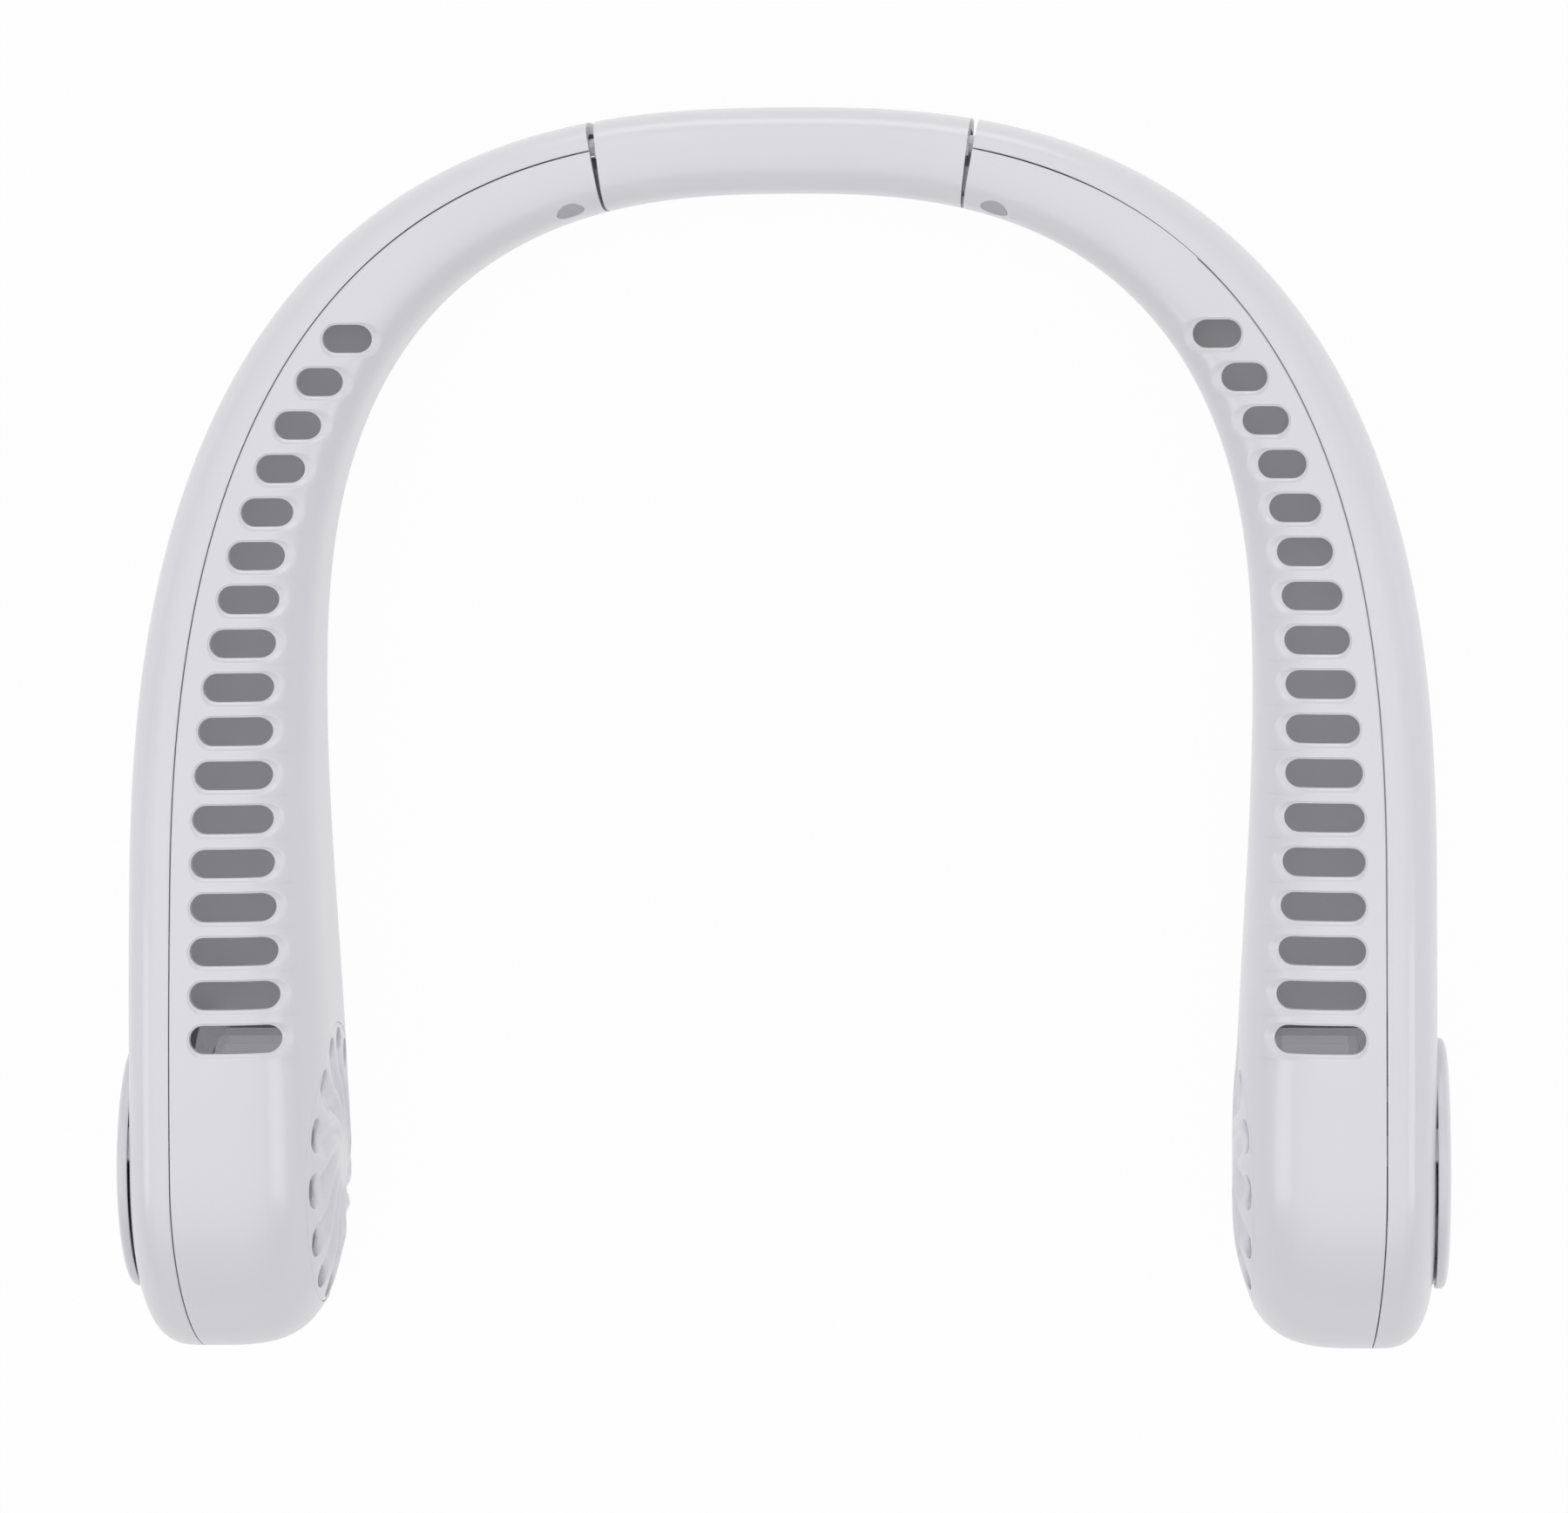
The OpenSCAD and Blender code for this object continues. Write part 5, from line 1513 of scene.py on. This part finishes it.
@dataclass(frozen=True)
class Finish:
    """A moulded or metal surface with slow colour drift, fine grain, uneven gloss and, where set,
    a painted glow.
    """

    name: str
    tone: Tone
    shade: Tone
    gloss: tuple[float, float] = (0.30, 0.38)
    metal: float = 0.0
    grain: float = 2600.0
    bump: float = 0.02
    drift: float = 22.0
    drift_detail: float = 3.0
    grain_detail: float = 2.0
    coat: float = 0.0
    # painted glow: emission strength that lights the part though it is no lamp
    painted_glow: float = 0.0
    mix: tuple[float, float] = (0.35, 0.65)
    bump_depth: float = 0.0002

    def pattern(self, tool: NodeTool, place: bpy.types.NodeSocket) -> bpy.types.NodeSocket:
        """A value from 0 to 1 that mixes the two tones.

        Args:
            tool: The material's node helper.
            place: Object coordinates.
        Returns:
            The socket with the value.
        """
        noise = tool.node("ShaderNodeTexNoise")
        noise.inputs["Scale"].default_value = self.drift
        noise.inputs["Detail"].default_value = self.drift_detail
        tool.link(place, noise.inputs["Vector"])
        return noise.outputs["Fac"]

    def build(self) -> bpy.types.Material:
        """Makes the material.

        Returns:
            The new material.
        """
        material = bpy.data.materials.new(self.name)
        material.use_nodes = True
        tool = NodeTool(material.node_tree)
        result = tool.node("ShaderNodeOutputMaterial")
        shader = tool.node("ShaderNodeBsdfPrincipled")
        where = tool.node("ShaderNodeTexCoord")
        place = where.outputs["Object"]
        ramp = tool.node("ShaderNodeValToRGB")
        for stop, at, tone in zip(ramp.color_ramp.elements, self.mix, (self.shade, self.tone)):
            stop.position = at
            stop.color = (*tone.value, 1.0)
        tool.link(self.pattern(tool, place), ramp.inputs["Fac"])
        tool.link(ramp.outputs["Color"], shader.inputs["Base Color"])
        grain = tool.node("ShaderNodeTexNoise")
        grain.inputs["Scale"].default_value = self.grain
        grain.inputs["Detail"].default_value = self.grain_detail
        tool.link(place, grain.inputs["Vector"])
        gloss = tool.node("ShaderNodeMapRange")
        gloss.inputs["To Min"].default_value, gloss.inputs["To Max"].default_value = self.gloss
        tool.link(grain.outputs["Fac"], gloss.inputs["Value"])
        tool.link(gloss.outputs["Result"], shader.inputs["Roughness"])
        bump = tool.node("ShaderNodeBump")
        bump.inputs["Strength"].default_value = self.bump
        bump.inputs["Distance"].default_value = self.bump_depth
        tool.link(grain.outputs["Fac"], bump.inputs["Height"])
        tool.link(bump.outputs["Normal"], shader.inputs["Normal"])
        shader.inputs["Metallic"].default_value = self.metal
        shader.inputs["Coat Weight"].default_value = self.coat
        # Painted glow: the part gives off light in its own tone, light that no lamp sends there.
        if self.painted_glow:
            shader.inputs["Emission Color"].default_value = (*self.tone.value, 1.0)
            shader.inputs["Emission Strength"].default_value = self.painted_glow
        tool.link(shader.outputs["BSDF"], result.inputs["Surface"])
        return material


@dataclass(frozen=True)
class BandedFinish(Finish):
    """A finish with regular bands, for wound wire, flat cable and laminations."""

    pitch: float = 0.5
    unevenness: float = 0.4

    def pattern(self, tool: NodeTool, place: bpy.types.NodeSocket) -> bpy.types.NodeSocket:
        """Bands of the given pitch from foot to top, with a little unevenness.

        Args:
            tool: The material's node helper.
            place: Object coordinates.
        Returns:
            The socket with the value.
        """
        wave = tool.node("ShaderNodeTexWave", wave_type="BANDS", bands_direction="Z")
        wave.inputs["Scale"].default_value = BAND_PITCH / (self.pitch * MM)
        wave.inputs["Distortion"].default_value = self.unevenness
        tool.link(place, wave.inputs["Vector"])
        return wave.outputs["Fac"]


class Slot(Enum):
    """The record's material slots."""

    WHITE_SHELL = "white_shell"
    INNER_PLASTIC = "inner_plastic"
    BUTTON_PLASTIC = "button_plastic"
    GREY_RUBBER = "grey_rubber"
    DARK_PLASTIC = "dark_plastic"
    ROTOR_PLASTIC = "rotor_plastic"
    MILKY_PLASTIC = "milky_plastic"
    WIRE_JACKET = "wire_jacket"
    BATTERY_WRAP = "battery_wrap"
    BOARD = "board"
    STEEL = "steel"
    MAGNET = "magnet"
    COPPER = "copper"


FINISHES: dict[Slot, Finish] = {
    Slot.WHITE_SHELL: Finish("satin_white", Tone.WHITE, Tone.WHITE_SHADE, (0.26, 0.34), coat=0.15),
    # The duct's painted glow stands in for light passing through the thin white shell into the
    # duct and slots.
    Slot.INNER_PLASTIC: Finish("duct_white", Tone.DUCT, Tone.DUCT_SHADE, (0.42, 0.52), painted_glow=0.09),
    Slot.BUTTON_PLASTIC: Finish("button_white", Tone.WHITE_SHADE, Tone.WHITE, (0.30, 0.40)),
    Slot.GREY_RUBBER: Finish(
        "plug_rubber", Tone.RUBBER, Tone.RUBBER_SHADE, (0.55, 0.68), bump=0.05
    ),
    Slot.DARK_PLASTIC: Finish("dark_moulding", Tone.DARK, Tone.DARK_SHADE, (0.38, 0.48)),
    # The rotor's painted glow stands in for light passing through the thin white housing onto the
    # impeller.
    Slot.ROTOR_PLASTIC: Finish(
        "rotor_moulding", Tone.ROTOR, Tone.ROTOR_SHADE, (0.36, 0.46), painted_glow=0.16
    ),
    # The light guide's faint painted glow is light that no lamp in the scene gives it.
    Slot.MILKY_PLASTIC: Finish("light_guide", Tone.MILK, Tone.MILK_SHADE, (0.2, 0.3), painted_glow=0.05),
    Slot.WIRE_JACKET: BandedFinish(
        "ribbon_jacket", Tone.JACKET, Tone.JACKET_SHADE, (0.4, 0.5), pitch=1.0
    ),
    Slot.BATTERY_WRAP: Finish("cell_wrap", Tone.WRAP, Tone.WRAP_SHADE, (0.28, 0.4)),
    Slot.BOARD: Finish("circuit_board", Tone.BOARD, Tone.BOARD_SHADE, (0.25, 0.35), drift=420.0),
    Slot.STEEL: Finish("bright_steel", Tone.STEEL, Tone.STEEL_SHADE, (0.22, 0.34), 1.0, 900.0),
    Slot.MAGNET: Finish("ferrite", Tone.MAGNET, Tone.MAGNET_SHADE, (0.5, 0.62), 0.2, 1500.0, 0.06),
    Slot.COPPER: BandedFinish(
        "enamelled_wire", Tone.COPPER, Tone.COPPER_SHADE, (0.2, 0.3), 0.9, pitch=0.28
    ),
}

CAD_STEMS: dict[Slot, tuple[str, ...]] = {
    Slot.INNER_PLASTIC: ("fan_scroll", "duct_floor", "hinge_knuckle"),
    Slot.BUTTON_PLASTIC: ("power_button",),
    Slot.DARK_PLASTIC: ("tact_switch",),
    Slot.ROTOR_PLASTIC: ("impeller",),
    Slot.MILKY_PLASTIC: ("light_pipe",),
    Slot.WIRE_JACKET: ("bridge_ribbon", "arm_ribbon"),
    Slot.BATTERY_WRAP: ("battery",),
    Slot.BOARD: ("control_board", "charge_board"),
    Slot.STEEL: (
        "usb_socket", "bearing_tube", "motor_bearings", "stator_core", "hinge_bracket",
        "hinge_pin", "hinge_screw", "shell_screws", "rotor_can", "motor_shaft",
    ),
    Slot.MAGNET: ("rotor_magnet",),
    Slot.COPPER: ("stator_coils",),
}


class Dresser:
    """Builds the finishes and puts them on pieces and on CAD nodes."""

    def __init__(self) -> None:
        """Builds each finish once."""
        self.materials = {slot: finish.build() for slot, finish in FINISHES.items()}

    def piece(self, made: bpy.types.Object, body: str, slot: Slot, node: str) -> None:
        """Dresses a new piece, hangs it under its CAD body and hides the CAD node it stands for.

        Args:
            made: The piece.
            body: The CAD body it rides on.
            slot: The record's material slot.
            node: CAD node that it stands for.
        """
        made.data.materials.clear()
        made.data.materials.append(self.materials[slot])
        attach(made, body)
        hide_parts(node)
        LOG.info("%s: %d faces on %s", made.name, len(made.data.polygons), body)

    def carried_over(self) -> None:
        """Dresses the CAD nodes that stay."""
        slots = {stem: slot for slot, stems in CAD_STEMS.items() for stem in stems}
        for name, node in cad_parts.items():
            stem = name.removesuffix("_left").removesuffix("_right")
            if stem in slots:
                node.data.materials.clear()
                node.data.materials.append(self.materials[slots[stem]])


@dataclass
class Housing:
    """The two shells of an arm with their cuts."""

    side: Side
    seat_r: float = 21.72
    seat_z: float = 4.4047
    ledge_inner_r: float = 19.66
    ledge_r: float = 20.26
    ledge_outer_r: float = 23.06
    ledge_t: float = 1.3
    over: float = 1.0
    seat_steps: int = 128
    hinge: tuple[float, float] = (28.4411, 84.3243)
    hinge_inset: float = 4.5
    end_angle: float = math.radians(79.5586)
    plug_r: float = 2.1
    plug_fit: float = 0.06
    plug_t: float = 1.0
    plug_back: float = 5.0
    plug_inset: float = 0.6
    probe: float = 0.05
    mouth: tuple[float, float] = (82.8, -29.0476)
    mouth_half_w: float = 4.625
    mouth_r: float = 1.75
    mouth_z: tuple[float, float] = (-1.0, 4.5)
    mouth_steps: int = 17
    vent_inner_r: float = 14.9945
    vent_outer_r: float = 17.5945
    vent_margin: float = math.radians(15)
    vent_steps: int = 25
    wall_z: tuple[float, float] = (28.1, 31.9)
    screws: int = 3
    screw_ring_r: float = 11.9
    head_recess_r: float = 2.15
    head_z: float = 29.45
    peg_hole_r: float = 1.35
    hole_steps: int = 40

    def ledge(self) -> bpy.types.Object:
        """The ring inside the shell on which the grille rests.

        Returns:
            The ring on its arm.
        """
        low, high = self.seat_z, self.seat_z + self.ledge_t
        inner, outer = self.ledge_inner_r, self.ledge_outer_r
        profile = (inner, low), (outer, low), (outer, high), (inner, high), (inner, low)
        return revolved(np.array(profile)).object("ledge", self.side)

    def seat(self) -> bpy.types.Object:
        """What is cut away for the grille and its opening.

        Returns:
            The shape on its arm.
        """
        end = self.seat_z + self.ledge_t + self.over
        profile = np.array([
            (0.0, -self.over), (self.seat_r, -self.over), (self.seat_r, self.seat_z),
            (self.ledge_r, self.seat_z), (self.ledge_r, end), (0.0, end),
        ])
        return revolved(profile, self.seat_steps).object("seat", self.side)

    def plug_seat(self) -> tuple[np.ndarray, np.ndarray]:
        """Where the rubber plug lies on the shoulder of the neck side.

        Returns:
            The middle of its face and the way out of it, for the right arm.
        """
        along = np.array([math.cos(self.end_angle), math.sin(self.end_angle)])
        back = np.array([along[1], -along[0]])
        inset = self.plug_inset - self.hinge_inset
        plan = np.array(self.hinge) + along * inset + back * self.plug_back
        around = np.array([[0.0, 0.0], [1.0, 0.0], [-1.0, 0.0], [0.0, 1.0], [0.0, -1.0]])
        top, span = SURFACE.top(plan + self.probe * around), 2 * self.probe
        out = np.array([(top[2] - top[1]) / span, (top[4] - top[3]) / span, 1.0])
        return np.array([*plan, top[0]]), out / np.linalg.norm(out)

    def plug_and_hole(self, shell: bpy.types.Object) -> tuple[bpy.types.Object, bpy.types.Object]:
        """Takes the plug out of the shell, so that its face follows the shoulder.

        Args:
            shell: The neck-side shell. It is replaced.
        Returns:
            The plug and the shell with the hole for it.
        """
        seat, out = self.plug_seat()
        start = seat + out * 2 * self.over
        core = round_rod(start, seat - out * self.plug_t, self.plug_r)
        made = core.object(f"rubber_plug_{self.side.label}", self.side)
        copy = shell.copy()
        copy.data = shell.data.copy()
        bpy.context.scene.collection.objects.link(copy)
        made = combined(made, copy, Join.SHARE)
        end = seat - out * (self.plug_t + self.probe)
        hole = round_rod(start, end, self.plug_r + self.plug_fit)
        return made, combined(shell, hole.object("plug_hole", self.side), Join.CUT)

    def neck_shell(self) -> bpy.types.Object:
        """The neck-side shell with its seat and charging mouth.

        Returns:
            The shell on its arm.
        """
        shell = NeckShell().plan().object(f"neck_shell_{self.side.label}", self.side)
        shell = combined(shell, self.ledge(), Join.ADD)
        shell = combined(shell, self.seat(), Join.CUT)
        if self.side is Side.RIGHT:
            shell = combined(shell, self.charging_mouth(), Join.CUT)
        return shell

    def charging_mouth(self) -> bpy.types.Object:
        """The stadium-shaped mouth under the charging socket.

        Returns:
            The shape to cut away.
        """
        centre, radius = np.array(self.mouth), self.mouth_r
        turn = np.linspace(-QUARTER, QUARTER, self.mouth_steps)
        half_w = self.mouth_half_w - radius
        right = np.stack([half_w + radius * np.cos(turn), radius * np.sin(turn)], -1)
        loop = np.concatenate([right, -right])
        low, high = self.mouth_z
        plan = MeshPlan()
        plan.ring(plan.add(np.stack([
            np.concatenate([centre + loop * share, np.full((len(loop), 1), z)], -1)
            for z, share in ((low, 0.0), (low, 1.0), (high, 1.0), (high, 0.0))
        ])))
        return plan.object("charging_mouth")

    def vent(self) -> MeshPlan:
        """One curved vent under the cover plate.

        Returns:
            The plan of the shape to cut away, in the fan's frame.
        """
        sweep = np.linspace(self.vent_margin, QUARTER - self.vent_margin, self.vent_steps)
        inner, outer = self.vent_inner_r, self.vent_outer_r
        low, high = self.wall_z
        corners = (inner, low), (outer, low), (outer, high), (inner, high)
        vent = MeshPlan()
        numbers = vent.add(np.stack(
            [AXIS.polar(np.array(radius), sweep, np.array(axial)) for radius, axial in corners], 1
        ))
        vent.ring(numbers)
        vent.faces += [numbers[0].tolist()[::-1], numbers[-1].tolist()]
        return vent

    def outer_shell(self, material: bpy.types.Material) -> bpy.types.Object:
        """The outside shell with what lies under the cover plate.

        Args:
            material: Finish of the shell.
        Returns:
            The shell on its arm.
        """
        shell = OuterShell().plan().object(f"outside_shell_{self.side.label}", self.side)
        plate = CoverPlate(self.side)
        start, turned = plate.rib_start, plate.rib_start + math.pi / plate.ribs
        low, high = self.wall_z

        def rod(ring: float, radius: float, foot: float) -> MeshPlan:
            """A hole through the wall at a distance from the fan's axis."""
            profile = [(0.0, foot), (radius, foot), (radius, high), (0.0, high)]
            return axial_rod(profile, ring, self.hole_steps)

        for name, count, begin, unit in (
            ("vents", plate.ribs, start, self.vent()),
            ("peg_holes", plate.ribs, turned, rod(plate.peg_ring_r, self.peg_hole_r, low)),
            ("heads", self.screws, start, rod(self.screw_ring_r, self.head_recess_r, self.head_z)),
        ):
            holes = RingPattern(count, begin).build(unit, name, self.side, material)
            shell = combined(shell, holes, Join.CUT)
        return shell


@dataclass(frozen=True)
class Lamp:
    """A soft square lamp: where it stands, how large and strong it is, and its colour."""

    name: str
    place: Point
    size: float
    power: float
    colour: Colour

    def build(self, aim: Point) -> None:
        """Makes the lamp.

        Args:
            aim: Where it points.
        """
        data = bpy.data.lights.new(self.name, "AREA")
        data.shape = "SQUARE"
        data.size = self.size
        data.energy = self.power
        data.color = self.colour
        lamp = linked(self.name, data)
        lamp.location = self.place
        way = Vector(aim) - Vector(self.place)
        lamp.rotation_euler = way.to_track_quat("-Z", "Y").to_euler()


@dataclass
class Studio:
    """The pale floor, the soft lamps and the camera over the object."""

    aim: Point = (-0.0001, -0.0045, 0.026)
    distance: float = 1.045
    tilt: float = math.radians(3.5)
    pitch: float = math.radians(4.0)
    roll: float = -0.0065
    frame_width: float = 0.24244
    sensor: float = 36.0
    sight: float = 20.0
    floor_half: float = 3.0
    floor_z: float = -0.0002
    floor_colour: Colour = (0.85, 0.85, 0.85)
    floor_painted_glow: float = 0.96
    sky_colour: Colour = (0.93, 0.95, 1.0)
    sky_strength: float = 0.42
    lamps: tuple[Lamp, ...] = (
        Lamp("top_softbox", (0.0, -0.15, 1.6), 2.6, 15.6, (1.0, 0.99, 0.98)),
        Lamp("left_softbox", (-1.5, -0.2, 0.9), 0.8, 5.0, (1.0, 0.98, 0.98)),
        Lamp("right_softbox", (1.5, -0.2, 0.9), 0.8, 5.0, (1.0, 0.98, 0.98)),
        Lamp("rear_softbox", (0.0, 1.6, 0.5), 1.0, 7.5, (1.0, 1.0, 0.98)),
    )

    def camera(self) -> None:
        """Looks down from a little towards +X and +Y."""
        data = bpy.data.cameras.new("camera")
        data.sensor_width = self.sensor
        data.lens = self.sensor * self.distance / self.frame_width
        data.dof.use_dof = False
        data.clip_end = self.sight
        eye = linked("camera", data)
        away = Vector((
            math.sin(self.tilt) * math.cos(self.pitch), math.sin(self.pitch),
            math.cos(self.tilt) * math.cos(self.pitch),
        ))
        right = Vector((math.cos(self.tilt), 0.0, -math.sin(self.tilt)))
        turned = Matrix((right, away.cross(right), away)).transposed()
        eye.rotation_euler = (turned @ Matrix.Rotation(self.roll, 3, "Z")).to_euler()
        eye.location = Vector(self.aim) + away * self.distance
        bpy.context.scene.camera = eye

    def floor(self) -> None:
        """A pale floor that looks white and keeps the object's shadow."""
        half, low = self.floor_half, self.floor_z
        mesh = bpy.data.meshes.new("floor")
        corners = [(-half, -half, low), (half, -half, low), (half, half, low), (-half, half, low)]
        mesh.from_pydata(corners, [], [(0, 1, 2, 3)])
        floor = linked("floor", mesh)
        material = bpy.data.materials.new("floor_white")
        material.use_nodes = True
        tool = NodeTool(material.node_tree)
        result = tool.node("ShaderNodeOutputMaterial")
        plain = tool.node("ShaderNodeBsdfDiffuse")
        plain.inputs["Color"].default_value = (*self.floor_colour, 1.0)
        bright = tool.node("ShaderNodeEmission")
        bright.inputs["Color"].default_value = (1.0, 1.0, 1.0, 1.0)
        ray = tool.node("ShaderNodeLightPath")
        seen = tool.node("ShaderNodeMath", operation="MAXIMUM")
        share = tool.node("ShaderNodeMath", operation="MULTIPLY")
        share.inputs[1].default_value = self.floor_painted_glow
        mix = tool.node("ShaderNodeMixShader")
        either = tool.node("ShaderNodeMath", operation="MAXIMUM")
        tool.link(ray.outputs["Is Camera Ray"], seen.inputs[0])
        tool.link(ray.outputs["Is Transmission Ray"], seen.inputs[1])
        tool.link(seen.outputs[0], either.inputs[0])
        tool.link(ray.outputs["Is Glossy Ray"], either.inputs[1])
        tool.link(either.outputs[0], share.inputs[0])
        tool.link(share.outputs[0], mix.inputs["Fac"])
        tool.link(plain.outputs[0], mix.inputs[1])
        tool.link(bright.outputs[0], mix.inputs[2])
        tool.link(mix.outputs[0], result.inputs["Surface"])
        mesh.materials.append(material)

    def world(self) -> None:
        """Even pale light from all round, white where the camera sees it."""
        world = bpy.data.worlds.new("studio")
        world.use_nodes = True
        bpy.context.scene.world = world
        tool = NodeTool(world.node_tree)
        result = tool.node("ShaderNodeOutputWorld")
        dim, bright = tool.node("ShaderNodeBackground"), tool.node("ShaderNodeBackground")
        dim.inputs["Color"].default_value = (*self.sky_colour, 1.0)
        dim.inputs["Strength"].default_value = self.sky_strength
        bright.inputs["Color"].default_value = (1.0, 1.0, 1.0, 1.0)
        ray = tool.node("ShaderNodeLightPath")
        mix = tool.node("ShaderNodeMixShader")
        tool.link(ray.outputs["Is Camera Ray"], mix.inputs["Fac"])
        tool.link(dim.outputs[0], mix.inputs[1])
        tool.link(bright.outputs[0], mix.inputs[2])
        tool.link(mix.outputs[0], result.inputs["Surface"])

    def build(self) -> None:
        """Makes the whole studio."""
        bpy.context.scene.view_settings.view_transform = "Standard"
        self.camera()
        self.floor()
        self.world()
        for lamp in self.lamps:
            lamp.build(self.aim)


def main() -> None:
    """Builds the fan's pieces, the finishes and the studio."""
    logging.basicConfig(level=logging.INFO, format="%(name)s %(message)s")
    dresser = Dresser()
    white = dresser.materials[Slot.WHITE_SHELL]
    dresser.piece(Bridge().build(), "bridge", Slot.WHITE_SHELL, "bridge_shell")
    for side in Side:
        housing = Housing(side)
        plug, shell = housing.plug_and_hole(housing.neck_shell())
        for made, slot, stem in (
            (shell, Slot.WHITE_SHELL, "inner_shell"),
            (housing.outer_shell(white), Slot.WHITE_SHELL, "outer_shell"),
            (IntakeGrille(side).build(white), Slot.WHITE_SHELL, "intake_grille"),
            (CoverPlate(side).build(white), Slot.WHITE_SHELL, "cover_plate"),
            (plug, Slot.GREY_RUBBER, "screw_plug"),
        ):
            dresser.piece(made, side.arm, slot, f"{stem}_{side.label}")
    dresser.carried_over()
    Studio().build()


if __name__ == "__main__":
    main()
